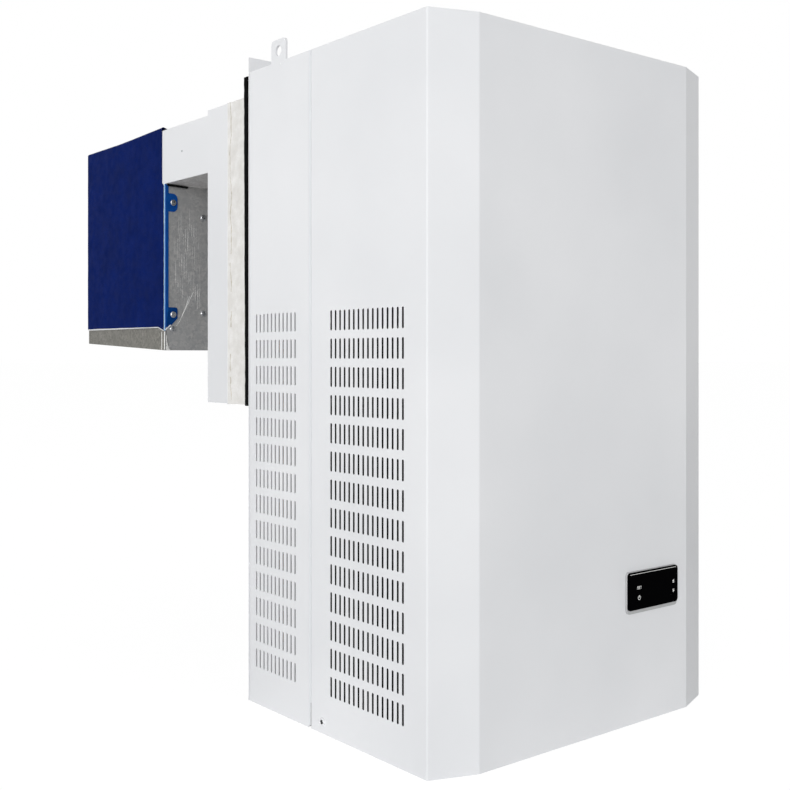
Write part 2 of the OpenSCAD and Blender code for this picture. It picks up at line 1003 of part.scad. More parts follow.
// Two rows of tubes with return bends, joined at their lowest tubes
module coil_tubes(half, count, pitch) {
    reach = half + end_t + seat + tube_r;
    for (y = [-row_pitch / 2, row_pitch / 2])
        for (i = [0:count - 1]) {
            z = (i - (count - 1) / 2) * pitch;
            bar_x(tube_r, -reach, reach, y, z);
            if (i < count - 1)
                translate([i % 2 == 0 ? -reach : reach, y, z + pitch / 2])
                    rotate([90, i % 2 == 0 ? -90 : 90, 0])
                        return_bend(pitch);
        }
    translate([reach, 0, -(count - 1) / 2 * pitch])
        rotate([0, 0, -90])
            return_bend(row_pitch);
}

module coil_end_plates(half, count, pitch) {
    both_sides()
        translate([-half - seat - end_t, 0, 0])
            rotate([90, 0, 90])
                coil_sheet(end_t, count, pitch);
}

module evap_place() {
    translate([0, evap_y, evap_z])
        children();
}

module evaporator_fins() {
    color("silver")
        evap_place()
            coil_fins(evap_half, evap_fins, evap_tubes, evap_pitch);
}

module evaporator_tubes() {
    color("peru")
        evap_place()
            coil_tubes(evap_half, evap_tubes, evap_pitch);
}

// End plates with a flange that is screwed to the evaporator plate
module evaporator_end_plates() {
    high = evap_z + evap_tubes * evap_pitch / 2;
    low = tray_rim + seat;
    near = plate_y + sheet + seat;
    color("silver") {
        evap_place()
            coil_end_plates(evap_half, evap_tubes, evap_pitch);
        both_sides()
            difference() {
                union() {
                    block([-evap_half - seat - end_t, near, low], [-evap_half - seat, evap_near, high]);
                    block([-evap_half - seat - end_t, near, low], [end_lip - evap_half, near + end_t, high]);
                }
                for (p = [plate_screws[2], plate_screws[3]])
                    bar_y(screw_r + fit, near - cut, near + end_t + cut, p.x, p.y);
            }
    }
}

// Heater rod bent into a hairpin under the coil's lower edge, held by the end plates
module defrost_heater() {
    z = evap_z - evap_tubes * evap_pitch / 2 - heater_r - seat;
    color("slategray")
        pipe_run([
            [-heater_half, evap_y - row_pitch / 2, z], [heater_half, evap_y - row_pitch / 2, z],
            [heater_half, evap_y + row_pitch / 2, z], [-heater_half, evap_y + row_pitch / 2, z]
        ], heater_r, pipe_bend / 2);
}

// Panel that closes the casing towards the room, with the fan's ring
module fan_panel() {
    side = half_casing - sheet - corner_seat;
    low = tray_rim + seat;
    high = casing_top - sheet - corner_seat;
    color("midnightblue")
        difference() {
            union() {
                difference() {
                    block([-side, room_y - flange, low], [side, room_y, high]);
                    block(
                        [sheet - side, room_y - flange - cut, low + sheet],
                        [side - sheet, room_y - sheet, high - sheet]
                    );
                }
                bar_y(evap_fan_r + tip_gap + ring_t, room_y - ring_l, room_y, 0, evap_fan_z);
            }
            bar_y(evap_fan_r + tip_gap, room_y - ring_l - cut, room_y + cut, 0, evap_fan_z);
        }
}

// Fans turn about local Z: the motor stands on its face at zero, and the blades lie below it
module fan_motor(arm_r, reach) {
    arm_z = motor_l * motor_tail_share;
    difference() {
        union() {
            cylinder(r = motor_r, h = motor_l - motor_lip);
            cylinder(r = motor_r - motor_lip, h = motor_l);
            translate([0, 0, arm_z - arm_t])
                cylinder(r = motor_r + motor_ring, h = 2 * arm_t);
            for (i = [0:3])
                rotate([0, 0, 45 + 90 * i]) {
                    block([motor_r, -arm_w / 2, arm_z - arm_t / 2], [arm_r, arm_w / 2, arm_z + arm_t / 2]);
                    block([arm_r - arm_t, -arm_w / 2, -reach], [arm_r, arm_w / 2, arm_z + arm_t / 2]);
                    block([arm_r - arm_t, -arm_w / 2, -reach], [arm_r + arm_out, arm_w / 2, arm_t - reach]);
                }
        }
        translate([0, 0, -cut])
            cylinder(r = shaft_r + fit, h = bore_l + 2 * cut);
    }
}

// Cambered sheet of a blade, drawn along the blade's length
function blade_profile() =
    let (drop = blade_curve_r * cos(blade_half_turn))
    concat(
        [for (k = [-3:3]) let (w = blade_half_turn * k / 3)
            [blade_curve_r * sin(w), blade_curve_r * cos(w) - drop]],
        [for (k = [3:-1:-3]) let (w = blade_half_turn * k / 3)
            [(blade_curve_r - blade_t) * sin(w), (blade_curve_r - blade_t) * cos(w) - drop]]
    );

module fan_blade(tip_r) {
    root = hub_r * blade_root_share;
    spread = blade_curve_r * sin(blade_half_turn);
    intersection() {
        rotate([90, 0, 90])
            linear_extrude(tip_r + cut)
                rotate(blade_pitch)
                    polygon(blade_profile());
        translate([0, 0, -hub_l - hub_gap])
            linear_extrude(2 * (hub_l + hub_gap))
                intersection() {
                    circle(r = tip_r);
                    polygon(rounded([
                        [root, -hub_r * blade_root_share / 2], [tip_r * blade_root_share, -spread],
                        [tip_r + spread, -spread / 2], [tip_r + spread, spread],
                        [tip_r * blade_root_share, spread], [root, hub_r * blade_root_share / 2]
                    ], bend_r));
                }
    }
}

module fan_blades(tip_r) {
    translate([0, 0, -hub_l - hub_gap])
        cylinder(r = hub_r, h = hub_l);
    translate([0, 0, -hub_l - hub_gap - shaft_r])
        cylinder(r = hub_r - shaft_r, h = hub_l);
    translate([0, 0, -hub_l])
        cylinder(r = shaft_r, h = hub_l + bore_l);
    for (i = [0:fan_blade_count - 1])
        rotate([0, 0, i * 360 / fan_blade_count])
            translate([0, 0, -hub_l / 2 - hub_gap])
                fan_blade(tip_r);
}

module evap_fan_place() {
    translate([0, evap_motor_y, evap_fan_z])
        rotate([90, 0, 0])
            children();
}

module evaporator_fan_motor() {
    color("gray")
        evap_fan_place()
            fan_motor(evap_fan_r + tip_gap + ring_t + arm_t + seat, room_y - sheet - seat - evap_motor_y);
}

module evaporator_fan_blades() {
    color("lightgray")
        evap_fan_place()
            fan_blades(evap_fan_r);
}

// Round wire guard on the room side of the fan panel, standing on four posts
module evaporator_fan_guard() {
    outer = evap_fan_r + tip_gap + guard_over;
    inner = outer / guard_rings;
    color("silver")
        translate([0, room_y + guard_off, evap_fan_z])
            rotate([-90, 0, 0]) {
                for (i = [1:guard_rings])
                    rotate_extrude()
                        translate([inner * i, 0])
                            circle(r = guard_wire_r);
                for (i = [0:guard_spokes - 1])
                    rotate([0, 0, i * 360 / guard_spokes]) {
                        translate([inner, 0, guard_wire_r])
                            rotate([0, 90, 0])
                                cylinder(r = guard_wire_r * guard_spoke_share, h = outer - inner);
                        translate([outer, 0, seat - guard_off])
                            cylinder(r = guard_wire_r * guard_post_share, h = guard_off + guard_wire_r);
                    }
            }
}

// Lead of the room sensor, from the electrical box through the cable sleeve and the neck
module sensor_lead() {
    color("black")
        pipe_run(lead_path, lead_r, lead_bend);
}

module room_sensor() {
    color("silver")
        bar_z(probe_r, probe_top - probe_l, probe_top, -probe_x, plate_y + lead_in);
}

module compressor_shell() {
    stubs = [
        [sleeve_x + pipe_side, stub_in], [sleeve_x + pipe_side - stub_in, -stub_in]
    ];
    color("dimgray") {
        translate([compressor_x, shell_y, shell_z])
            rotate_extrude() {
                square([shell_r - shell_round, shell_h]);
                translate([0, shell_round])
                    square([shell_r, shell_h - 2 * shell_round]);
                intersection() {
                    union() {
                        translate([shell_r - shell_round, shell_round])
                            circle(r = shell_round);
                        translate([shell_r - shell_round, shell_h - shell_round])
                            circle(r = shell_round);
                    }
                    square([shell_r, shell_h]);
                }
                translate([0, shell_h * shell_seam_share])
                    square([shell_r + seam_ring, seam_ring_h]);
            }
        for (p = stubs)
            bar_z(stub_r, shell_z + shell_h - shell_round, shell_z + shell_h + stub_h, p.x, shell_y + p.y);
    }
}

module compressor_feet() {
    z = shell_z - foot_saddle_h;
    color("dimgray")
        difference() {
            union() {
                along_z(z, z + foot_t)
                    translate([compressor_x, shell_y])
                        polygon(rounded(
                            rectangle(2 * (foot_x + foot_round), 2 * (foot_y + foot_round)), foot_round
                        ));
                bar_z(foot_saddle_r, z, shell_z - seat, compressor_x, shell_y);
            }
            for (x = [-foot_x, foot_x])
                for (y = [-foot_y, foot_y])
                    bar_z(grommet_neck + fit, z - cut, z + foot_t + cut, compressor_x + x, shell_y + y);
        }
}

module compressor_grommets() {
    z = shell_z - foot_saddle_h;
    color("black")
        for (x = [-foot_x, foot_x])
            for (y = [-foot_y, foot_y])
                difference() {
                    union() {
                        bar_z(grommet_r, floor_z + seat, z - fit, compressor_x + x, shell_y + y);
                        bar_z(
                            grommet_neck, floor_z + seat, z + foot_t + grommet_up,
                            compressor_x + x, shell_y + y
                        );
                        bar_z(
                            grommet_r, z + foot_t + fit, z + foot_t + grommet_up,
                            compressor_x + x, shell_y + y
                        );
                    }
                    bar_z(
                        bolt_r + fit, floor_z, z + foot_t + grommet_up + cut,
                        compressor_x + x, shell_y + y
                    );
                }
}

module compressor_bolts() {
    top = shell_z - foot_saddle_h + foot_t + grommet_up + seat;
    color("silver")
        for (x = [-foot_x, foot_x])
            for (y = [-foot_y, foot_y]) {
                bar_z(bolt_r, pan_z, top + bolt_head_h + bolt_out, compressor_x + x, shell_y + y);
                translate([compressor_x + x, shell_y + y, top])
                    cylinder(r = bolt_head_r, h = bolt_head_h, $fn = nut_sides);
            }
}

// Moulded cover over the terminals, on the front of the shell
module compressor_terminal_cover() {
    z = shell_z + (shell_h - cap_h) / 2 - seam_ring;
    color("black")
        difference() {
            along_z(z - shell_round, z + cap_h - shell_round)
                translate([compressor_x, shell_y - shell_r - cap_d / 2 + seam_ring])
                    polygon(rounded(rectangle(cap_w, cap_d), cap_round));
            bar_z(shell_r + seat, base_z, top_z, compressor_x, shell_y);
        }
}

module cond_place() {
    translate([cond_x, cond_y, cond_z])
        rotate([0, 0, 90])
            children();
}

module condenser_fins() {
    color("silver")
        cond_place()
            coil_fins(cond_half, cond_fins, cond_tubes, cond_pitch);
}

module condenser_tubes() {
    color("peru")
        cond_place()
            coil_tubes(cond_half, cond_tubes, cond_pitch);
}

// End plates with feet that reach down to the base pan
module condenser_end_plates() {
    low = -cond_tubes * cond_pitch / 2;
    depth = coil_edge + row_pitch / 2;
    foot = floor_z + seat - cond_z;
    color("silver")
        cond_place() {
            coil_end_plates(cond_half, cond_tubes, cond_pitch);
            both_sides() {
                block([-cond_half - seat - end_t, -depth, foot], [-cond_half - seat, depth, low]);
                block(
                    [-cond_half - seat - end_t, -depth, foot],
                    [coil_edge - cond_half, depth, foot + end_t]
                );
            }
        }
}

// Box from the condenser to the fan, with the fan's ring
module condenser_shroud() {
    half_z = cond_tubes * cond_pitch / 2;
    near = cond_x + coil_edge + row_pitch / 2 + seat;
    far = near + shroud_d;
    color("gainsboro")
        difference() {
            union() {
                difference() {
                    block(
                        [near, cond_y - cond_half, cond_z - half_z],
                        [far, cond_y + cond_half, cond_z + half_z]
                    );
                    block(
                        [near - cut, cond_y - cond_half + sheet, cond_z - half_z + sheet],
                        [far - sheet, cond_y + cond_half - sheet, cond_z + half_z - sheet]
                    );
                }
                bar_x(cond_fan_r + tip_gap + ring_t, far - ring_l, far, cond_y, cond_fan_z);
            }
            bar_x(cond_fan_r + tip_gap, far - ring_l - cut, far + cut, cond_y, cond_fan_z);
        }
}

module cond_fan_place() {
    translate([cond_motor_x, cond_y, cond_fan_z])
        rotate([0, 90, 0])
            children();
}

module condenser_fan_motor() {
    color("gray")
        cond_fan_place()
            fan_motor(cond_fan_r + tip_gap, cond_motor_x - cond_far - seat);
}

module condenser_fan_blades() {
    color("black")
        cond_fan_place()
            fan_blades(cond_fan_r);
}

module filter_drier() {
    bottom = drier_z - drier_l / 2;
    color("peru")
        translate([drier_x, pipe_y, 0]) {
            translate([0, 0, bottom + drier_cone])
                cylinder(r = drier_r, h = drier_l - 2 * drier_cone);
            translate([0, 0, bottom])
                cylinder(r1 = liquid_r, r2 = drier_r, h = drier_cone);
            translate([0, 0, bottom + drier_l - drier_cone])
                cylinder(r1 = drier_r, r2 = liquid_r, h = drier_cone);
        }
}

module discharge_pipe() {
    x = sleeve_x + pipe_side - stub_in;
    color("peru")
        pipe_run([
            [x, shell_y - stub_in, stub_top], [x, shell_y - stub_in, cond_top_z],
            [x, pipe_y, cond_top_z], [cond_x + row_pitch / 2, pipe_y, cond_top_z],
            [cond_x + row_pitch / 2, cond_end_y, cond_top_z]
        ], discharge_r, liquid_bend);
}

module condenser_outlet_pipe() {
    color("peru")
        pipe_run([
            [cond_x - row_pitch / 2, cond_end_y, cond_top_z], [cond_x - row_pitch / 2, pipe_y, cond_top_z],
            [cond_x - row_pitch / 2, pipe_y, outlet_z], [drier_x, pipe_y, outlet_z],
            [drier_x, pipe_y, drier_z - drier_l / 2]
        ], liquid_r, liquid_bend);
}

module liquid_pipe() {
    mid_y = plug_d + gap_d * neck_mid_share + 2 * pipe_bend;
    color("peru")
        pipe_run([
            [drier_x, pipe_y, drier_z + drier_l / 2], [drier_x, pipe_y, sleeve_z + pipe_up],
            [sleeve_x - pipe_side, pipe_y, sleeve_z + pipe_up],
            [sleeve_x - pipe_side, mid_y, sleeve_z + pipe_up],
            [evap_end_x + header_x, mid_y, sleeve_z + pipe_up],
            [evap_end_x + header_x, evap_y + row_pitch / 2, sleeve_z + pipe_up],
            [evap_end_x + header_x, evap_y + row_pitch / 2, evap_top_z],
            [evap_end_x, evap_y + row_pitch / 2, evap_top_z]
        ], liquid_r, liquid_bend);
}

module suction_pipe() {
    mid_y = plug_d + gap_d * neck_mid_share;
    x = sleeve_x + pipe_side;
    color("peru")
        pipe_run([
            [x, shell_y + stub_in, stub_top], [x, shell_y + stub_in, sleeve_z], [x, mid_y, sleeve_z],
            [evap_end_x + header_x, mid_y, sleeve_z],
            [evap_end_x + header_x, evap_y - row_pitch / 2, sleeve_z],
            [evap_end_x + header_x, evap_y - row_pitch / 2, evap_top_z],
            [evap_end_x, evap_y - row_pitch / 2, evap_top_z]
        ], suction_r, pipe_bend);
}

module condensate_tray() {
    rear = panel_y - basin_back;
    low = floor_z + seat;
    color("gray")
        difference() {
            block([-basin_w / 2, rear - basin_d, low], [basin_w / 2, rear, low + basin_h]);
            block(
                [drain_wall - basin_w / 2, rear - basin_d + drain_wall, low + drain_wall],
                [basin_w / 2 - drain_wall, rear - drain_wall, low + basin_h + cut]
            );
        }
}

module electrical_box() {
    color("gainsboro")
        difference() {
            block([box_left, box_back - box_d, box_low], [box_left + box_w, box_back, box_low + box_h]);
            block(
                [box_left + sheet, box_back - box_d - cut, box_low + sheet],
                [box_left + box_w - sheet, box_back - sheet, box_low + box_h - sheet]
            );
            bar_z(
                gland_bore, box_low + box_h - sheet - cut, box_low + box_h + cut,
                gland_x, box_back - box_d / 2
            );
            bar_z(
                lead_r + fit, box_low + box_h - sheet - cut, box_low + box_h + cut,
                -sleeve_x, box_back - box_d / 2
            );
        }
}

module electrical_box_cover() {
    fore = box_back - box_d - seat;
    color("silver")
        difference() {
            block(
                [box_left - sheet - seat, fore - sheet, box_low - sheet - seat],
                [box_left + box_w + sheet + seat, fore + flange, box_low + box_h + sheet + seat]
            );
            block(
                [box_left - seat, fore, box_low - seat],
                [box_left + box_w + seat, fore + flange + cut, box_low + box_h + seat]
            );
        }
}

module terminal_block() {
    x = box_left + part_gap;
    z = box_low + part_gap;
    back = box_back - sheet - seat;
    step = block_w / block_ways;
    low = z + block_h * (1 - way_share);
    color("ivory")
        difference() {
            block([x, back - block_d, z], [x + block_w, back, z + block_h]);
            for (i = [0:block_ways - 1])
                block(
                    [x + step * (i + (1 - way_share) / 2), back - block_d - cut, low],
                    [x + step * (i + (1 + way_share) / 2), back - block_d / 2, z + block_h * way_share]
                );
        }
}

module contactor() {
    x = box_left + part_gap;
    z = box_low + 2 * part_gap + block_h;
    back = box_back - sheet - seat;
    color("dimgray") {
        block([x, back - contactor_d + contactor_step, z], [x + contactor_w, back, z + contactor_h]);
        block(
            [x, back - contactor_d, z + contactor_step],
            [x + contactor_w, back, z + contactor_h - contactor_step]
        );
    }
}

module run_capacitor() {
    x = box_left + box_w - part_gap - capacitor_r;
    z = box_low + box_h / 2;
    back = box_back - sheet - seat;
    color("whitesmoke") {
        bar_y(capacitor_r, back - capacitor_l, back, x, z);
        bar_y(capacitor_r * capacitor_cap_share, back - capacitor_l - part_gap / 2, back, x, z);
    }
}

module mains_gland() {
    under = top_z - sheet - seat;
    color("black")
        difference() {
            union() {
                bar_z(gland_r, under - gland_nut, top_z + gland_l, gland_x, lug_y);
                translate([gland_x, lug_y, top_z + seat])
                    cylinder(r = gland_nut_r, h = gland_nut, $fn = nut_sides);
                translate([gland_x, lug_y, under - gland_nut])
                    cylinder(r = gland_nut_r, h = gland_nut, $fn = nut_sides);
            }
            bar_z(gland_bore, under - gland_nut - cut, top_z + gland_l + cut, gland_x, lug_y);
        }
}

module at_key(i) {
    translate([panel_x + key_places[i].x, face_top - key_top_in + key_places[i].y])
        children();
}

module controller_housing() {
    rim_y = front_y - seat;
    low = face_top - panel_h - band_h;
    color("lightgray")
        difference() {
            union() {
                along_y(rim_y - rim_t, rim_y)
                    translate([panel_x, (face_top + face_line + low) / 2])
                        polygon(rounded(rectangle(panel_w, face_top + face_line - low), panel_round));
                block(
                    [panel_x - housing_w / 2, rim_y - seat, housing_z - housing_h / 2],
                    [panel_x + housing_w / 2, rim_y + housing_d, housing_z + housing_h / 2]
                );
            }
            along_y(rim_y - rim_t - cut, face_front + key_t + key_travel + key_gap)
                for (i = [0:3])
                    at_key(i)
                        square([key_w + 2 * key_gap, key_h + 2 * key_gap], center = true);
        }
}

module controller_face() {
    back = front_y - seat - rim_t;
    color("black")
        along_y(face_front, back)
            difference() {
                translate([panel_x, face_top - panel_h / 2])
                    polygon(rounded(rectangle(panel_w, panel_h), panel_round));
                for (i = [0:3])
                    at_key(i)
                        polygon(rounded(rectangle(key_w + 2 * key_gap, key_h + 2 * key_gap), key_round));
            }
}

module key(i) {
    color("black")
        along_y(face_front, face_front + key_t)
            at_key(i)
                polygon(rounded(rectangle(key_w, key_h), key_round));
}

module key_set() {
    key(0);
}

module key_power() {
    key(1);
}

module key_up() {
    key(2);
}

module key_down() {
    key(3);
}

base_pan();
back_panel();
rear_side_left();
rear_side_right();
rear_top_panel();
front_cover();
cover_screws();
lifting_lugs();
wall_gasket();
plug_foam();
plug_skin();
plug_sleeves();
neck_cover();
neck_floor();
evaporator_casing();
evaporator_plate();
casing_screws();
drip_tray();
drain_pipe();
evaporator_fins();
evaporator_tubes();
evaporator_end_plates();
defrost_heater();
fan_panel();
evaporator_fan_motor();
evaporator_fan_blades();
evaporator_fan_guard();
sensor_lead();
room_sensor();
compressor_shell();
compressor_feet();
compressor_grommets();
compressor_bolts();
compressor_terminal_cover();
condenser_fins();
condenser_tubes();
condenser_end_plates();
condenser_shroud();
condenser_fan_motor();
condenser_fan_blades();
filter_drier();
discharge_pipe();
suction_pipe();
condenser_outlet_pipe();
liquid_pipe();
condensate_tray();
electrical_box();
electrical_box_cover();
terminal_block();
contactor();
run_capacitor();
mains_gland();
controller_housing();
controller_face();
key_set();
key_power();
key_up();
key_down();
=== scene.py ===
"""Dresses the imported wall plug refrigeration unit: finishes, film, cut foam, screws and key marks."""

import logging
import math
from dataclasses import dataclass
from enum import Enum
from functools import cache
from typing import ClassVar, Iterable

import bmesh
import bpy
from mathutils import Matrix, Vector, noise


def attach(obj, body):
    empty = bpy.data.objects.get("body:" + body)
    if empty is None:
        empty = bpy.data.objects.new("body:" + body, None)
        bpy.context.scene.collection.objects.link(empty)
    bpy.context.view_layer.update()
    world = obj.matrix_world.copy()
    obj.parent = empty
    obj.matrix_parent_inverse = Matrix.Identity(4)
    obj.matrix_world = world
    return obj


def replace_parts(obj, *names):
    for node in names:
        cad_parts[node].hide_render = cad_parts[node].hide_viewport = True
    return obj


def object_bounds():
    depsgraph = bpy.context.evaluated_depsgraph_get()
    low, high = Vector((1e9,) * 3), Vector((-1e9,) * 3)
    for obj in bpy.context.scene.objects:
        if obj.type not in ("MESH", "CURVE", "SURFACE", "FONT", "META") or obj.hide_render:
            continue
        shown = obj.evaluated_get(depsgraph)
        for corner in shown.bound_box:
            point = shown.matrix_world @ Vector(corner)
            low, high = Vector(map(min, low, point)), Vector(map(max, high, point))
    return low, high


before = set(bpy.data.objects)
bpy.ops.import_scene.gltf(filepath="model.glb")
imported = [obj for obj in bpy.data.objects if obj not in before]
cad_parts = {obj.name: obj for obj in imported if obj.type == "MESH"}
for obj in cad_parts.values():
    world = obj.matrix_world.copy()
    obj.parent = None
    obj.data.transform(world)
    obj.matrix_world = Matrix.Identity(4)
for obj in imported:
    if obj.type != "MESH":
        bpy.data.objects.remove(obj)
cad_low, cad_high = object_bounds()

log = logging.getLogger("refrigeration_unit")

CABINET = "cabinet"
MM = 0.001
Socket = bpy.types.NodeSocket


class Side(Enum):
    """The two sides of the unit, as the sign of X."""

    LEFT = -1
    RIGHT = 1

    def at(self, x: float, y: float, z: float) -> Vector:
        """Gives a place on this side, where x is the distance from the unit's middle plane."""
        return at(self.value * x, y, z)


class Direction(Enum):
    """The way that marks of rolling or drawing run, as the scale of their noise along each axis."""

    NONE = (1.0, 1.0, 1.0)
    ALONG_X = (0.04, 1.0, 1.0)
    ALONG_Z = (1.0, 1.0, 0.04)


def linear(colour: str) -> tuple[float, float, float, float]:
    """Turns an sRGB colour to the linear values that the shader takes.

    Args:
        colour: six hex digits after a hash.

    Returns:
        Red, green, blue and an alpha of 1.
    """
    values = [int(colour[i : i + 2], 16) / 255 for i in (1, 3, 5)]
    red, green, blue = (v / 12.92 if v <= 0.04045 else ((v + 0.055) / 1.055) ** 2.4 for v in values)
    return red, green, blue, 1.0


def add_node(
    tree: bpy.types.NodeTree,
    kind: str,
    inputs: dict[str | int, object] | None = None,
    **settings: object,
) -> bpy.types.Node:
    """Adds a node to a material.

    Args:
        tree: the material's tree.
        kind: the node's type.
        inputs: for a socket's name or number, its value or the output that feeds it.
        settings: the node's own properties.

    Returns:
        The new node.
    """
    made = tree.nodes.new(kind)
    for name, value in settings.items():
        setattr(made, name, value)
    for socket, value in (inputs or {}).items():
        if isinstance(value, bpy.types.NodeSocket):
            tree.links.new(value, made.inputs[socket])
        else:
            made.inputs[socket].default_value = value
    return made


@dataclass
class Skin:
    """A material's tree while the pattern of a finish is drawn in it."""

    tree: bpy.types.NodeTree
    shader: bpy.types.Node
    place: Socket

    def grain(self, size_mm: float, detail: float = 2.0, run: Direction = Direction.NONE) -> Socket:
        """Adds noise with features of a real size.

        Args:
            size_mm: size of a feature.
            detail: number of finer layers.
            run: the way along which the noise is stretched.

        Returns:
            The noise, from 0 to 1.
        """
        turned = add_node(self.tree, "ShaderNodeMapping", {"Vector": self.place, "Scale": run.value})
        inputs = {"Vector": turned.outputs["Vector"], "Scale": 1 / (size_mm * MM), "Detail": detail}
        return add_node(self.tree, "ShaderNodeTexNoise", inputs).outputs["Fac"]

    def cells(self, place: Socket, size_mm: float) -> bpy.types.Node:
        """Adds rounded cells of a real size.

        Args:
            place: the coordinates that they follow.
            size_mm: size of a cell.

        Returns:
            The node, with its Distance and Color.
        """
        return add_node(self.tree, "ShaderNodeTexVoronoi", {"Vector": place, "Scale": 1 / (size_mm * MM)})

    def span(
        self, value: Socket, low: float, high: float, from_low: float = 0.3, from_high: float = 0.7
    ) -> Socket:
        """Maps a pattern to a range.

        Args:
            value: the pattern.
            low: result where the pattern is at from_low.
            high: result where the pattern is at from_high.
            from_low: lower end of the pattern's range.
            from_high: upper end of the pattern's range.

        Returns:
            The mapped value.
        """
        ends = {"From Min": from_low, "From Max": from_high, "To Min": low, "To Max": high}
        return add_node(self.tree, "ShaderNodeMapRange", {"Value": value, **ends}).outputs["Result"]

    def tint(self, share: Socket, base: str | Socket, other: str) -> Socket:
        """Mixes a second colour into a base by a pattern.

        Args:
            share: the pattern, 0 for the base and 1 for the other colour.
            base: the base colour.
            other: the second colour.

        Returns:
            The mixed colour.
        """
        first = linear(base) if isinstance(base, str) else base
        inputs = {"Factor": share, 6: first, 7: linear(other)}
        return add_node(self.tree, "ShaderNodeMix", inputs, data_type="RGBA").outputs[2]

    def relief(
        self, height: Socket, depth_mm: float, under: bpy.types.Node | None = None
    ) -> bpy.types.Node:
        """Adds relief of a real depth.

        Args:
            height: the pattern.
            depth_mm: depth from the pattern's 0 to its 1.
            under: relief that this one lies on.

        Returns:
            The bump node.
        """
        made = add_node(self.tree, "ShaderNodeBump", {"Height": height, "Distance": depth_mm * MM})
        if under:
            self.tree.links.new(under.outputs["Normal"], made.inputs["Normal"])
        self.feed("Normal", made.outputs["Normal"])
        return made

    def feed(self, socket: str, value: Socket) -> None:
        """Lets a pattern drive one of the shader's sockets."""
        self.tree.links.new(value, self.shader.inputs[socket])


@dataclass(frozen=True)
class Finish:
    """What a surface is made of, and how it answers to light."""

    name: str
    colour: str
    roughness: float
    metallic: float = 0.0
    ior: float = 1.5

    def material(self) -> bpy.types.Material:
        """Gives the finish's material, which is made at its first use."""
        found = bpy.data.materials.get(self.name)
        if found:
            return found
        made = bpy.data.materials.new(self.name)
        made.use_nodes = True
        tree = made.node_tree
        shader = tree.nodes["Principled BSDF"]
        shader.inputs["Base Color"].default_value = linear(self.colour)
        shader.inputs["Roughness"].default_value = self.roughness
        shader.inputs["Metallic"].default_value = self.metallic
        shader.inputs["IOR"].default_value = self.ior
        place = add_node(tree, "ShaderNodeTexCoord").outputs["Object"]
        self.pattern(Skin(tree, shader, place))
        return made

    def pattern(self, skin: Skin) -> None:
        """Adds what the kind of finish shows; the plain kind shows nothing.

        Args:
            skin: the material's tree, which the pattern is drawn in.
        """


@dataclass(frozen=True)
class PowderCoat(Finish):
    """Sprayed and baked paint on sheet steel: orange peel and a tone that drifts slowly over the panel."""

    shade: str = "#D9DBDE"
    peel_mm: float = 2.2
    peel_depth_mm: float = 0.02
    drift_mm: float = 260
    rub_mm: float = 45

    def pattern(self, skin: Skin) -> None:
        """Adds orange peel, a slow drift of tone and faint rubbed patches."""
        drift = skin.span(skin.grain(self.drift_mm, 3), 0, 0.5)
        skin.feed("Base Color", skin.tint(drift, self.colour, self.shade))
        rub = skin.grain(self.rub_mm, 4)
        skin.feed("Roughness", skin.span(rub, self.roughness - 0.02, self.roughness + 0.03, 0, 1))
        skin.relief(skin.grain(self.peel_mm), self.peel_depth_mm)


@dataclass(frozen=True)
class Galvanised(Finish):
    """Hot-dip galvanised sheet: angular zinc crystals of several tones, and fine lines from rolling."""

    dark: str = "#6D6C66"
    crystal_mm: float = 3.5
    ragged_mm: float = 6
    oxide_mm: float = 40
    speck_mm: float = 1.3
    line_mm: float = 1.6
    line_depth_mm: float = 0.02
    lines: Direction = Direction.ALONG_X

    def pattern(self, skin: Skin) -> None:
        """Adds crystals in steps of tone, dull patches of oxide and rolling lines."""
        crystal = skin.cells(self.ragged(skin), self.crystal_mm)
        step = add_node(skin.tree, "ShaderNodeSeparateColor", {"Color": crystal.outputs["Color"]})
        tone = skin.span(step.outputs["Red"], 0, 0.95, 0, 1)
        colour = skin.tint(tone, self.colour, self.dark)
        oxide = skin.span(skin.grain(self.oxide_mm, 4), 0, 0.35)
        colour = skin.tint(oxide, colour, self.dark)
        specks = skin.span(skin.grain(self.speck_mm, 1), 0, 0.8, 0.56, 0.7)
        skin.feed("Base Color", skin.tint(specks, colour, self.dark))
        rough = self.roughness
        skin.feed("Roughness", skin.span(step.outputs["Green"], rough - 0.08, rough + 0.12, 0, 1))
        skin.relief(skin.grain(self.line_mm, 2, self.lines), self.line_depth_mm)

    def ragged(self, skin: Skin) -> Socket:
        """Gives coordinates that wander, so that the crystals' edges are ragged."""
        inputs = {"Vector": skin.place, "Scale": 1 / (self.crystal_mm * MM), "Detail": 1.0}
        noisy = add_node(skin.tree, "ShaderNodeTexNoise", inputs)
        reach = (self.ragged_mm * MM,) * 3
        inputs = {0: noisy.outputs["Color"], 1: reach}
        shift = add_node(skin.tree, "ShaderNodeVectorMath", inputs, operation="MULTIPLY")
        inputs = {0: skin.place, 1: shift.outputs["Vector"]}
        return add_node(skin.tree, "ShaderNodeVectorMath", inputs, operation="ADD").outputs["Vector"]


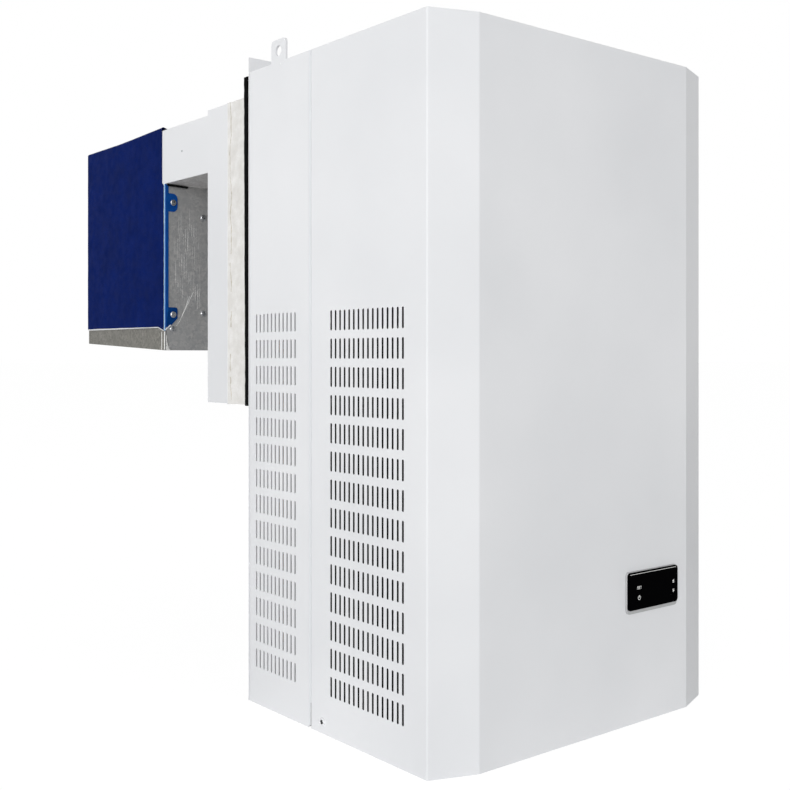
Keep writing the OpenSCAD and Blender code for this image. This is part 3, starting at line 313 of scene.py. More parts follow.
@dataclass(frozen=True)
class ProtectiveFilm(Finish):
    """Blue polyethylene film that is still on the sheet: uneven grip, small wrinkles and a waxy gloss."""

    deep: str = "#091A50"
    patch_mm: float = 30
    streak_mm: float = 14
    speck_mm: float = 1.6
    sheen_mm: float = 11
    bulge_mm: float = 26
    wrinkle_mm: float = 3.5
    streaks: Direction = Direction.ALONG_Z

    def pattern(self, skin: Skin) -> None:
        """Adds patches where the film has let go of the sheet, streaks and fine wrinkles."""
        colour = self.colour
        marks = (
            (skin.grain(self.patch_mm, 5), 0.8),
            (skin.grain(self.streak_mm, 3, self.streaks), 0.35),
            (skin.grain(self.speck_mm, 2), 0.9),
        )
        for mark, share in marks:
            colour = skin.tint(skin.span(mark, 0, share), colour, self.deep)
        skin.feed("Base Color", colour)
        sheen = skin.grain(self.sheen_mm, 3)
        skin.feed("Roughness", skin.span(sheen, self.roughness - 0.1, self.roughness + 0.18))
        broad = skin.relief(skin.grain(self.bulge_mm, 3), 0.25)
        skin.relief(skin.grain(self.wrinkle_mm, 3), 0.03, broad)


@dataclass(frozen=True)
class CellFoam(Finish):
    """Cut or skinned foam: open pores of a real size, and stains between them."""

    stain: str = "#D0CCBC"
    pore_mm: float = 2.4
    pore_depth_mm: float = 0.5
    stain_mm: float = 12
    ragged_mm: float = 5

    def pattern(self, skin: Skin) -> None:
        """Adds pores with painted shade at their bottom, over a ragged cut."""
        pores = skin.cells(skin.place, self.pore_mm).outputs["Distance"]
        # Painted shade: each pore is darkened towards its middle, in the stain colour
        pore_shade = skin.span(pores, 1, 0, 0.1, 0.5)
        stained = skin.span(skin.grain(self.stain_mm, 4), 0, 1)
        colour = skin.tint(skin.span(pore_shade, 0, 0.45, 0, 1), self.colour, self.stain)
        skin.feed("Base Color", skin.tint(stained, colour, self.stain))
        ragged = skin.relief(skin.grain(self.ragged_mm, 3), self.pore_depth_mm)
        skin.relief(pores, self.pore_depth_mm / 2, ragged)


@dataclass(frozen=True)
class Moulded(Finish):
    """Moulded plastic or rubber: the fine spark grain of the mould, and a slight drift of tone."""

    shade: str = "#202020"
    grain_mm: float = 0.9
    grain_depth_mm: float = 0.012
    drift_mm: float = 30

    def pattern(self, skin: Skin) -> None:
        """Adds the grain and a drift of tone."""
        drift = skin.span(skin.grain(self.drift_mm, 3), 0, 0.6)
        skin.feed("Base Color", skin.tint(drift, self.colour, self.shade))
        grain = skin.grain(self.grain_mm, 2)
        skin.feed("Roughness", skin.span(grain, self.roughness - 0.04, self.roughness + 0.06))
        skin.relief(grain, self.grain_depth_mm)


@dataclass(frozen=True)
class DrawnMetal(Finish):
    """Metal drawn or rolled to shape: lines along its length and patches of tarnish."""

    tarnish: str = "#7A4A33"
    tarnish_share: float = 0.6
    cloud_mm: float = 22
    lines: Direction = Direction.ALONG_X
    line_mm: float = 1.2
    line_depth_mm: float = 0.01

    def pattern(self, skin: Skin) -> None:
        """Adds tarnish in cloudy patches, and fine lines."""
        cloud = skin.span(skin.grain(self.cloud_mm, 4), 0, self.tarnish_share)
        skin.feed("Base Color", skin.tint(cloud, self.colour, self.tarnish))
        lines = skin.grain(self.line_mm, 2, self.lines)
        skin.feed("Roughness", skin.span(lines, self.roughness - 0.06, self.roughness + 0.12))
        skin.relief(lines, self.line_depth_mm)


class Finishes(Enum):
    """The finishes of the unit, each named for the real material and how its surface was made; some names
    also say the light or shade that is painted into them.
    """

    # Powder coated steel sheet, semi-gloss white
    POWDER_COAT = PowderCoat("powder_coated_steel", "#EDEEF0", 0.42, ior=1.4)
    # The same paint on the bend at the seam, a little darker: painted shade on the fold
    SEAM_BEND_SHADE = PowderCoat("powder_coat_painted_shade_on_bend", "#DDDFE2", 0.6, ior=1.3, shade="#D6D8DB", peel_mm=2)
    # Painted shade inside the punched slots: a near-black copy of the paint on the slot walls
    SLOT_SHADE = PowderCoat("painted_shade_in_slots", "#101013", 0.8, ior=1.1, shade="#0B0B0D", peel_mm=1)
    # Coil coated steel sheet: smoother than powder, since the paint is rolled on
    COIL_COAT = PowderCoat(
        "coil_coated_steel", "#EAEBED", 0.42, ior=1.4, peel_mm=6, peel_depth_mm=0.006
    )
    # Galvanised steel sheet, the crystals drawn at the size that shows on this unit
    GALVANISED = Galvanised("galvanised_steel", "#BDBCBA", 0.45, metallic=0.5, dark="#9FA0A1")
    # The tray's sheet, in stronger light, painted darker than the other galvanised parts to offset it:
    # painted shade
    TRAY_SHEET = Galvanised("galvanised_steel_painted_darker", "#8F8D86", 0.5, metallic=0.5, dark="#6C6B66")
    # Zinc rubbed bright at scratches, and the same bright zinc as painted highlights on the tray's folded
    # corners
    BRIGHT_ZINC = DrawnMetal("rubbed_zinc_and_painted_highlight", "#F2F2F0", 0.45, metallic=0.3, tarnish="#D8D8D4")
    # The same sheet under the neck and at its joint, duller, and painted much lighter to make up for the
    # shade there: painted light
    GALVANISED_PAINTED_LIGHT = Galvanised("galvanised_steel_painted_lighter", "#EBE9E8", 0.5, metallic=0.3, dark="#C4C2C0")
    # Zinc plated screws, bright with a little blue
    ZINC = DrawnMetal("zinc_plated_steel", "#C9CBCE", 0.3, metallic=1.0, tarnish="#8E9093")
    # Polyethylene film, dark where it grips the sheet
    FILM = ProtectiveFilm("blue_protective_film", "#0D256F", 0.4, ior=1.05)
    # The same film on the flat flange above the lower tab, painted lighter: painted light, the lit copy of
    # the film
    FILM_FLANGE_LIT = ProtectiveFilm(
        "blue_film_flange_lit", "#0A57A6", 0.3, ior=1.2, deep="#093C84", patch_mm=12
    )
    # The same film on the lower tab, in shade
    FILM_SHADED = ProtectiveFilm(
        "blue_film_on_lower_tab", "#0B4384", 0.4, ior=1.05, deep="#0A2F68"
    )
    # Painted highlight on the bend of the fold: a pale copy of the film
    FILM_BEND_HIGHLIGHT = ProtectiveFilm(
        "blue_film_bend_highlight", "#B4D6EA", 0.25, ior=1.4, deep="#6FA3D2", patch_mm=20
    )
    CUT_FOAM = CellFoam("sawn_polyurethane_foam", "#F0EFED", 0.95, ior=1.2, stain="#E0DEDA")
    # The same foam where its skin tore, browned by air
    TORN_FOAM = CellFoam("torn_polyurethane_foam", "#C6BEB0", 0.95, ior=1.2, stain="#AFA696")
    GASKET_FOAM = CellFoam(
        "closed_cell_foam_strip", "#0B0B0C", 0.9, 0, 1.1, "#121213", 1.6, 0.15
    )
    # Polished black face, hard and clear like acrylic
    GLOSS_FACE = Moulded(
        "polished_acrylic", "#010102", 0.08, ior=1.05, shade="#020203", grain_depth_mm=0
    )
    GREY_ABS = Moulded("moulded_grey_abs", "#B9BABB", 0.45, shade="#A9AAAB")
    KEY_INK = Moulded("white_printing_ink", "#ECEDEA", 0.6, shade="#DADBD8")
    GREY_PVC = Moulded("extruded_grey_pvc", "#7F8284", 0.5, shade="#74777A")
    BLACK_NYLON = Moulded("moulded_black_nylon", "#141414", 0.5, shade="#1D1D1D")
    MELAMINE = Moulded("moulded_melamine", "#D6CFB8", 0.5, shade="#C8C0A6")
    WHITE_CAN = Moulded("moulded_white_polypropylene", "#DADBDC", 0.5, shade="#CFD0D1")
    CABLE_PVC = Moulded("extruded_black_pvc", "#050506", 0.6, ior=1.2, shade="#0A0A0B")
    RUBBER = Moulded("moulded_rubber", "#151414", 0.8, shade="#1E1D1D", grain_depth_mm=0.03)
    # Black stoving enamel of compressors, thick and glossy
    ENAMEL = PowderCoat(
        "stoved_black_enamel", "#0E0E10", 0.25, shade="#151517", peel_mm=3.5, peel_depth_mm=0.05
    )
    CAST_PAINT = PowderCoat(
        "painted_casting", "#3B3D40", 0.5, shade="#333538", peel_mm=1.6, peel_depth_mm=0.06
    )
    COATED_WIRE = PowderCoat("coated_wire", "#B9BCBF", 0.35, shade="#ADB0B3")
    # Drawn copper tube, brown where it was brazed
    COPPER = DrawnMetal("drawn_copper", "#C98B6B", 0.3, metallic=1.0)
    FIN_STOCK = DrawnMetal(
        "rolled_aluminium", "#C8CACC", 0.35, metallic=1.0, tarnish="#A4A7AA", lines=Direction.ALONG_Z
    )
    # Fin stock with the black epoxy coat of condensers; its black also stands in for the shade behind the
    # cover's slots, as painted shade
    COATED_FINS = PowderCoat(
        "epoxy_coated_fins", "#141416", 0.55, ior=1.3, shade="#1B1B1D", peel_mm=1.2, drift_mm=60
    )
    BLADE = DrawnMetal("pressed_aluminium", "#B4B7BA", 0.42, metallic=0.9, tarnish="#8C8F93")
    STAINLESS = DrawnMetal(
        "drawn_stainless", "#B8B9BB", 0.28, metallic=1.0, tarnish="#97989B", lines=Direction.ALONG_Z
    )


def new_piece(name: str, shape: bmesh.types.BMesh, finish: Finishes, body: str = CABINET):
    """Turns a finished mesh into a piece that rides on a body.

    Args:
        name: the piece's name.
        shape: its mesh, in the unit's own frame.
        finish: its finish.
        body: the body that carries it.

    Returns:
        The new object.
    """
    bmesh.ops.recalc_face_normals(shape, faces=shape.faces)
    mesh = bpy.data.meshes.new(name)
    shape.to_mesh(mesh)
    shape.free()
    mesh.materials.append(finish.value.material())
    made = bpy.data.objects.new(name, mesh)
    bpy.context.scene.collection.objects.link(made)
    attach(made, body)
    log.info("piece %s: %d faces", name, len(mesh.polygons))
    return made


def smooth(made: bpy.types.Object, angle: float = 35) -> bpy.types.Object:
    """Shades a piece smooth, apart from its corners.

    Args:
        made: the piece.
        angle: corners sharper than this, in degrees, stay sharp.

    Returns:
        The same piece.
    """
    made.data.shade_smooth()
    made.data.set_sharp_from_angle(angle=math.radians(angle))
    return made


def at(x: float, y: float, z: float) -> Vector:
    """Gives a place in metres from its coordinates in millimetres."""
    return Vector((x, y, z)) * MM


@dataclass(frozen=True)
class Reach:
    """How far a CAD node reaches to each side, in millimetres."""

    left: float
    right: float
    front: float
    back: float
    base: float
    top: float


@cache
def reach(name: str) -> Reach:
    """Measures a CAD node.

    Args:
        name: the node's name.

    Returns:
        How far it reaches, to a hundredth of a millimetre.
    """
    places = [v.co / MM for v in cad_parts[name].data.vertices]
    ends = [round(end(p[axis] for p in places), 2) for axis in range(3) for end in (min, max)]
    return Reach(*ends)


def box(shape: bmesh.types.BMesh, low: Vector, high: Vector) -> None:
    """Adds a closed box to a mesh.

    Args:
        shape: the mesh.
        low: the box's lowest corner.
        high: its highest corner.
    """
    size = Matrix.Diagonal((*(high - low), 1))
    bmesh.ops.create_cube(shape, size=1, matrix=Matrix.Translation((high + low) / 2) @ size)


def rod(shape: bmesh.types.BMesh, start: Vector, end: Vector, radius: float, facets: int = 16) -> None:
    """Adds a closed round rod to a mesh.

    Args:
        shape: the mesh.
        start: the middle of one end.
        end: the middle of the other end.
        radius: its radius.
        facets: its number of sides.
    """
    turn = (end - start).to_track_quat("Z", "Y").to_matrix().to_4x4()
    bmesh.ops.create_cone(
        shape,
        cap_ends=True,
        segments=facets,
        radius1=radius,
        radius2=radius,
        depth=(end - start).length,
        matrix=Matrix.Translation((start + end) / 2) @ turn,
    )


def ball(shape: bmesh.types.BMesh, place: Vector, radius: float) -> None:
    """Adds a ball to a mesh, as where two rods meet.

    Args:
        shape: the mesh.
        place: the ball's middle.
        radius: its radius.
    """
    there = Matrix.Translation(place)
    bmesh.ops.create_icosphere(shape, subdivisions=2, radius=radius, matrix=there)


def join(whole: bmesh.types.BMesh, part: bmesh.types.BMesh) -> None:
    """Moves a mesh into another one.

    Args:
        whole: the mesh that takes it.
        part: the mesh that is moved, and freed.
    """
    mesh = bpy.data.meshes.new("joined_part")
    part.to_mesh(mesh)
    part.free()
    whole.from_mesh(mesh)
    bpy.data.meshes.remove(mesh)


def rough_box(low: Vector, high: Vector, step: float, fold: float = 0) -> bmesh.types.BMesh:
    """Makes a closed box whose faces are divided evenly.

    Args:
        low: its lowest corner.
        high: its highest corner.
        step: the length of a division.
        fold: radius of its upper edges along Y, or zero for sharp ones.

    Returns:
        The box.
    """
    shape = bmesh.new()
    box(shape, low, high)
    if fold:
        long = [e for e in shape.edges if all(v.co.z > high.z - MM for v in e.verts)]
        long = [e for e in long if abs(e.verts[0].co.y - e.verts[1].co.y) > MM]
        bend = {"segments": 4, "profile": 0.5, "material": -1}
        bmesh.ops.bevel(shape, geom=long, offset=fold, affect="EDGES", **bend)
    for axis in range(3):
        pieces = max(1, round((high - low)[axis] / step))
        for i in range(1, pieces):
            place = low.copy()
            place[axis] += (high - low)[axis] * i / pieces
            normal = Vector((0, 0, 0))
            normal[axis] = 1
            everything = list(shape.verts) + list(shape.edges) + list(shape.faces)
            bmesh.ops.bisect_plane(shape, geom=everything, plane_co=place, plane_no=normal)
    return shape


def ripple(place: Vector, size_mm: float, seed: float = 0) -> float:
    """Gives smooth noise from -1 to 1.

    Args:
        place: where it is read.
        size_mm: size of a feature.
        seed: shifts the noise, so that surfaces don't repeat.

    Returns:
        The noise.
    """
    return noise.noise(place / (size_mm * MM) + Vector((seed, seed, seed)))


def open_ends(shape: bmesh.types.BMesh, axis: Vector) -> None:
    """Takes off the faces of a mesh that face along an axis.

    Args:
        shape: the mesh.
        axis: the axis; only its own direction counts, not the opposite one.
    """
    shape.normal_update()
    ends = [f for f in shape.faces if f.normal.dot(axis) > 0.99]
    bmesh.ops.delete(shape, geom=ends, context="FACES")


Coats = dict[Finishes, tuple[str, ...]]


@dataclass
class Assembly:
    """A sub-assembly of the unit. It dresses its own CAD nodes, then adds its own pieces."""

    coats: ClassVar[Coats] = {}
    round: bool = False

    def dress(self) -> None:
        """Gives each CAD node of the sub-assembly its finish."""
        for finish, names in self.coats.items():
            for name in names:
                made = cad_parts[name]
                made.data.materials.clear()
                made.data.materials.append(finish.value.material())
                if self.round:
                    smooth(made)
                log.info("node %s: %s", name, finish.value.name)

    def recoat(self, name: str, finish: Finishes) -> int:
        """Gives a CAD node one more finish, for some of its faces.

        Args:
            name: the node's name.
            finish: the further finish.

        Returns:
            The finish's number on that node.
        """
        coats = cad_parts[name].data.materials
        coats.append(finish.value.material())
        return len(coats) - 1

    def build(self) -> None:
        """Makes the sub-assembly's own pieces; the plain kind has none."""


@dataclass
class PanHead:
    """Pan head screw with a cross recess, drawn with its head towards -Y and its seat at the origin."""

    radius: float = 0.0042
    height: float = 0.0022
    crown: float = 0.0008
    round_share: float = 0.93
    flat_share: float = 0.66
    slot_width: float = 0.0015
    slot_reach: float = 0.0027
    slot_depth: float = 0.0016
    taper_share: float = 0.7
    facets: int = 28

    def shape(self) -> bmesh.types.BMesh:
        """Makes the head: a crowned disc with a cross pressed into it.

        Returns:
            The head as a mesh.
        """
        head = bmesh.new()
        profile = (
            (0.0, 0.0),
            (self.radius, 0.0),
            (self.radius, self.crown - self.height),
            (self.radius * self.round_share, self.crown * 0.5 - self.height),
            (self.radius * self.flat_share, -self.height),
        )
        line = [head.verts.new((r, y, 0)) for r, y in profile]
        edges = [head.edges.new(pair) for pair in zip(line, line[1:])]
        turn = {"cent": (0, 0, 0), "axis": (0, 1, 0), "angle": 2 * math.pi, "use_merge": True}
        bmesh.ops.spin(head, geom=line + edges, steps=self.facets, **turn)
        bmesh.ops.remove_doubles(head, verts=head.verts, dist=MM / 1000)
        rim = [e for e in head.edges if e.is_boundary]
        half = self.slot_width / 2
        arm = [(half, half), (half, self.slot_reach), (-half, self.slot_reach)]
        outline = []
        for quarter in range(4):
            turn = Matrix.Rotation(quarter * math.pi / 2, 2)
            outline += [turn @ Vector(p) for p in arm]
        cross = [head.verts.new((p.x, -self.height, p.y)) for p in outline]
        loop = [head.edges.new((cross[i - 1], cross[i])) for i in range(len(cross))]
        bmesh.ops.bridge_loops(head, edges=rim + loop)
        floor = head.faces.new(cross)
        sunk = bmesh.ops.extrude_face_region(head, geom=[floor])["geom"]
        bmesh.ops.delete(head, geom=[floor], context="FACES_ONLY")
        moved = [v for v in sunk if isinstance(v, bmesh.types.BMVert)]
        bmesh.ops.translate(head, vec=(0, self.slot_depth, 0), verts=moved)
        bmesh.ops.scale(head, vec=(self.taper_share, 1, self.taper_share), verts=moved)
        return head

    def several(self, places: Iterable[tuple[Vector, float, float]]) -> bmesh.types.BMesh:
        """Makes the heads of several screws.

        Args:
            places: for each screw its seat, the way its head faces as a turn about Z from -Y, in
                degrees, and the turn of its cross, in degrees.

        Returns:
            The heads as one mesh.
        """
        heads = bmesh.new()
        for seat, facing, cross in places:
            one = self.shape()
            faced = Matrix.Translation(seat) @ Matrix.Rotation(math.radians(facing), 4, "Z")
            turned = Matrix.Rotation(math.radians(cross), 4, "Y")
            bmesh.ops.transform(one, matrix=faced @ turned, verts=one.verts)
            join(heads, one)
        return heads


@dataclass
class Lamp:
    """Soft square lamp that faces the unit: its place in metres, its side and its power in watts."""

    name: str
    place: tuple[float, float, float]
    size: float
    power: float
    target: tuple[float, float, float] = (0, 0, -0.1)

    def build(self) -> None:
        """Adds the lamp to the scene."""
        data = bpy.data.lights.new(self.name, "AREA")
        data.size = self.size
        data.energy = self.power
        made = bpy.data.objects.new(self.name, data)
        made.location = self.place
        view = Vector(self.target) - Vector(self.place)
        made.rotation_euler = view.to_track_quat("-Z", "Y").to_euler()
        bpy.context.scene.collection.objects.link(made)


@dataclass
class Stage:
    """Pale floor, white surroundings, and soft light from the left of the camera."""

    floor_z: float
    reach: float = 60.0
    floor_colour: str = "#F4F4F4"
    surround: float = 0.46
    floor_lift: float = 0.86
    floor_glow: float = 1.09
    lamps: tuple[Lamp, ...] = (
        Lamp("key_lamp", (-6.17, -5.09, 0.5), 3.5, 428),
        Lamp("low_lamp", (-2.2, 1.1, -0.3), 0.9, 4.5),
    )

    def build(self) -> None:
        """Makes the floor, the world and the lamps."""
        self.floor()
        self.world()
        for lamp in self.lamps:
            lamp.build()

    def floor(self) -> None:
        """Makes the floor, white to the camera apart from the shadow on it."""
        shape = bmesh.new()
        bmesh.ops.create_grid(shape, x_segments=1, y_segments=1, size=self.reach)
        bmesh.ops.translate(shape, vec=(0, 0, self.floor_z), verts=shape.verts)
        mesh = bpy.data.meshes.new("floor")
        shape.to_mesh(mesh)
        shape.free()
        made = bpy.data.objects.new("floor", mesh)
        bpy.context.scene.collection.objects.link(made)
        material = bpy.data.materials.new("white_floor")
        material.use_nodes = True
        tree = material.node_tree
        tree.nodes.clear()
        path = add_node(tree, "ShaderNodeLightPath")
        matte = add_node(tree, "ShaderNodeBsdfDiffuse", {"Color": linear(self.floor_colour)})
        glow = add_node(tree, "ShaderNodeEmission", {"Color": (1, 1, 1, 1), "Strength": self.floor_glow})
        inputs = {0: path.outputs["Is Camera Ray"], 1: self.floor_lift}
        seen = add_node(tree, "ShaderNodeMath", inputs, operation="MULTIPLY")
        inputs = {0: seen.outputs["Value"], 1: matte.outputs["BSDF"], 2: glow.outputs["Emission"]}
        mixed = add_node(tree, "ShaderNodeMixShader", inputs)
        add_node(tree, "ShaderNodeOutputMaterial", {"Surface": mixed.outputs["Shader"]})
        mesh.materials.append(material)

    def world(self) -> None:
        """Makes the surroundings: white to the camera, to gloss and to glass, and dimmer as light."""
        world = bpy.data.worlds.new("surroundings")
        bpy.context.scene.world = world
        world.use_nodes = True
        tree = world.node_tree
        tree.nodes.clear()
        path = add_node(tree, "ShaderNodeLightPath")
        white = path.outputs["Is Camera Ray"]
        for ray in ("Is Glossy Ray", "Is Transmission Ray"):
            inputs = {0: white, 1: path.outputs[ray]}
            white = add_node(tree, "ShaderNodeMath", inputs, operation="MAXIMUM").outputs["Value"]
        inputs = {"Value": white, "To Min": self.surround, "To Max": 1.0}
        strength = add_node(tree, "ShaderNodeMapRange", inputs)
        inputs = {"Color": (1, 1, 1, 1), "Strength": strength.outputs["Result"]}
        back = add_node(tree, "ShaderNodeBackground", inputs)
        add_node(tree, "ShaderNodeOutputWorld", {"Surface": back.outputs["Background"]})


@dataclass
class PhotoCamera:
    """Level camera at the photograph's place, raised in its frame by a shift."""

    place: tuple[float, float, float] = (-0.9078, -1.1366, -0.1267)
    turn: float = math.radians(39.07)
    lens: float = 50.67
    frame_width: float = 36
    shift_y: float = -0.0499

    def build(self) -> None:
        """Makes the camera and gives it to the scene."""
        data = bpy.data.cameras.new("camera")
        data.lens = self.lens
        data.sensor_width = self.frame_width
        data.shift_y = self.shift_y
        made = bpy.data.objects.new("camera", data)
        made.location = self.place
        made.rotation_euler = (math.pi / 2, 0, -self.turn)
        bpy.context.scene.collection.objects.link(made)
        bpy.context.scene.camera = made


@dataclass
class Cabinet(Assembly):
    """White cabinet: front cover, rear channel sides, rear panel, top panel, base pan and lugs.

    The sizes are in millimetres, here and in the other sub-assemblies.
    """

    coats: ClassVar[Coats] = {
        Finishes.POWDER_COAT: (
            "back_panel",
            "rear_side_left",
            "rear_side_right",
            "rear_top_panel",
            "front_cover",
            "cover_screws",
            "lifting_lugs",
        ),
        Finishes.GALVANISED: ("base_pan",),
    }
    sheet: float = 1.3
    slots_y: tuple[float, float] = (-300, -170)
    slots_z: tuple[float, float] = (-500, 0)
    bend: float = 3.1
    screw_turn: float = 20
    rivet_radius: float = 1.6
    rivet_proud: float = 0.35
    rivet_y: float = -76.5
    rivet_z: float = 203.1

    def dress(self) -> None:
        """Gives each node its finish, painted shade to the walls of the cover's slots, and a darker copy of
        the paint to the seam's bends as painted shade.
        """
        super().dress()
        # Painted shade: the walls of the cover's slots get a near-black copy of the paint
        dark = self.recoat("front_cover", Finishes.SLOT_SHADE)
        edge = (reach("front_cover").right - self.sheet) * MM
        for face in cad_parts["front_cover"].data.polygons:
            _, y, z = face.center / MM
            wall = abs(face.center.x) > edge and abs(face.normal.x) < 0.3
            if wall and self.slots_y[0] < y < self.slots_y[1] and self.slots_z[0] < z < self.slots_z[1]:
                face.material_index = dark
        for name in ("rear_side_left", "rear_side_right"):
            # Painted shade: the bend faces at the front fold of each rear side get a darker copy of the paint
            thin = self.recoat(name, Finishes.SEAM_BEND_SHADE)
            fold = (reach(name).front + self.bend) * MM
            outer = (reach("front_cover").right - self.bend) * MM
            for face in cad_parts[name].data.polygons:
                if abs(face.center.x) > outer and face.center.y < fold and face.normal.y < -0.15:
                    face.material_index = thin

    def build(self) -> None:
        """Adds the painted screws at the cover's foot and the blind rivets under the lugs."""
        side_x = reach("front_cover").right
        drawn = reach("cover_screws")
        y, z = (drawn.front + drawn.back) / 2, (drawn.base + drawn.top) / 2
        heads = PanHead(height=0.0018, slot_depth=0.0008)
        seats = [(side.at(side_x, y, z), side.value * 90, self.screw_turn) for side in Side]
        screws = heads.several(seats)
        screws = new_piece("cover_screw_heads", screws, Finishes.POWDER_COAT)
        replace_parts(smooth(screws), "cover_screws")
        spots = bmesh.new()
        for side in Side:
            start = side.at(side_x - 1, self.rivet_y, self.rivet_z)
            end = side.at(side_x + self.rivet_proud, self.rivet_y, self.rivet_z)
            rod(spots, start, end, self.rivet_radius * MM)
        smooth(new_piece("lug_rivets", spots, Finishes.POWDER_COAT))


@dataclass
class WallPlug(Assembly):
    """Foam plug with its folded skin, its gasket and the sleeves through it."""

    coats: ClassVar[Coats] = {
        Finishes.GASKET_FOAM: ("wall_gasket",),
        Finishes.CUT_FOAM: ("plug_foam",),
        Finishes.COIL_COAT: ("plug_skin",),
        Finishes.GREY_PVC: ("plug_sleeves", "drain_pipe"),
    }
    foam_proud: float = 0.2
    foam_end: float = 2.5
    foam_cell: float = 3.2
    foam_depth: float = 0.55
    strip_width: float = 10
    tear_width: float = 1.6
    tear_step: float = 1.5
    hem_radius: float = 1.1
    hem_set: float = 0.1
    hem_back: float = 1.3
    gasket_gap: float = 0.4
    gasket_front: float = 1.6
    gasket_back: float = 0.8
    gasket_lift: float = 2.7
    foot_half: float = 193
    tail_height: float = 1.4
    tail_back: float = 4.5

    def build(self) -> None:
        """Adds the sawn face of the foam, the hem of the skin and the loose edge of the gasket."""
        self.sawn_foam()
        self.hem()
        self.gasket()

    def sawn_foam(self) -> None:
        """Adds the bare foam as it was sawn: a smooth strip by the skin, then a torn edge and rough cells."""
        foam, skin = reach("plug_foam"), reach("plug_skin")
        x, z = foam.right + self.foam_proud, foam.top + self.foam_proud
        low = at(-x, foam.front + self.gasket_gap, -z)
        shape = rough_box(low, at(x, skin.front - self.foam_end, z), self.foam_cell * MM)
        open_ends(shape, Vector((0, 1, 0)))
        open_ends(shape, Vector((0, -1, 0)))
        shape.normal_update()
        for v in shape.verts:
            torn = min(1, max(0, (self.torn_edge(v.co) - v.co.y) / (self.tear_width * MM)))
            depth = torn * (self.foam_depth + 0.35 * ripple(v.co, 9, 9) + 0.3 * ripple(v.co, 3.4, 3))
            v.co += v.normal * (self.foam_depth - depth) * MM
        bmesh.ops.solidify(shape, geom=shape.faces, thickness=0.5 * MM)
        smooth(new_piece("sawn_foam_face", shape, Finishes.CUT_FOAM), 50)
        tear = bmesh.new()
        steps = round(foam.top / self.tear_step)
        for side in Side:
            last = None
            for step in range(-steps, steps + 1):
                place = side.at(foam.right + 0.35, 0, step * self.tear_step)
                place.y = self.torn_edge(place)
                if last and ripple(place, 14, 8) > -0.25:
                    rod(tear, last, place, (0.4 + 0.5 * abs(ripple(place, 6, 2))) * MM, 6)
                last = place
        new_piece("foam_tear", tear, Finishes.TORN_FOAM)

    def torn_edge(self, place: Vector) -> float:
        """Gives the Y of the torn edge of the foam's smooth strip beside a place."""
        level = Vector((place.x, 0, place.z))
        middle = self.skin_front - self.strip_width
        return (middle + ripple(level, 26) * 3.4 + ripple(level, 7, 5) * 1.2) * MM

    def hem(self) -> None:
        """Adds the rounded hem of the skin's free edge, all round the plug."""
        shape = bmesh.new()
        foam = reach("plug_foam")
        x, z = foam.right - self.hem_set, foam.top - self.hem_set
        y = self.skin_front - self.hem_back
        corners = [at(-x, y, -z), at(-x, y, z), at(x, y, z), at(x, y, -z)]
        for i, corner in enumerate(corners):
            rod(shape, corners[i - 1], corner, self.hem_radius * MM, 12)
            ball(shape, corner, self.hem_radius * MM)
        smooth(new_piece("skin_hem", shape, Finishes.COIL_COAT))

    def gasket(self) -> None:
        """Adds the foam strips, thinner than their space and lifting off the cabinet towards the top."""
        foam, space = reach("plug_foam"), reach("wall_gasket")
        inner, outer = foam.right + self.gasket_gap, space.right - 0.2
        low, high = -foam.top - 0.2, space.top - 0.1
        near, far = space.front + self.gasket_front, space.back - self.gasket_back
        strips = [
            (at(-outer, near, low), at(-inner, far, high)),
            (at(inner, near, low), at(outer, far, high)),
            (at(-inner, near, foam.top + 0.3), at(inner, far, high)),
            (at(-self.foot_half, near, space.base + 0.2), at(self.foot_half, far, low - 0.1)),
        ]
        sides = len(strips)
        near, far, base = space.front + 0.1, space.back - self.tail_back, high - self.tail_height
        strips += [
            (at(-outer, near, base), at(-inner, far, high)),
            (at(inner, near, base), at(outer, far, high)),
        ]
        whole = bmesh.new()
        for number, (start, end) in enumerate(strips):
            shape = rough_box(start, end, 3 * MM)
            shape.normal_update()
            for v in shape.verts:
                rise = (v.co.z / MM - low) / (high - low)
                v.co += v.normal * ripple(v.co, 8, number) * 0.35 * MM
                if number < sides:
                    v.co.y += (self.gasket_lift * max(0, rise) + 0.4 * ripple(v.co, 45)) * MM
            join(whole, shape)
        gasket = smooth(new_piece("gasket_strips", whole, Finishes.GASKET_FOAM), 60)
        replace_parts(gasket, "wall_gasket")

    @property
    def skin_front(self) -> float:
        """The Y of the skin's free edge."""
        return reach("plug_skin").front


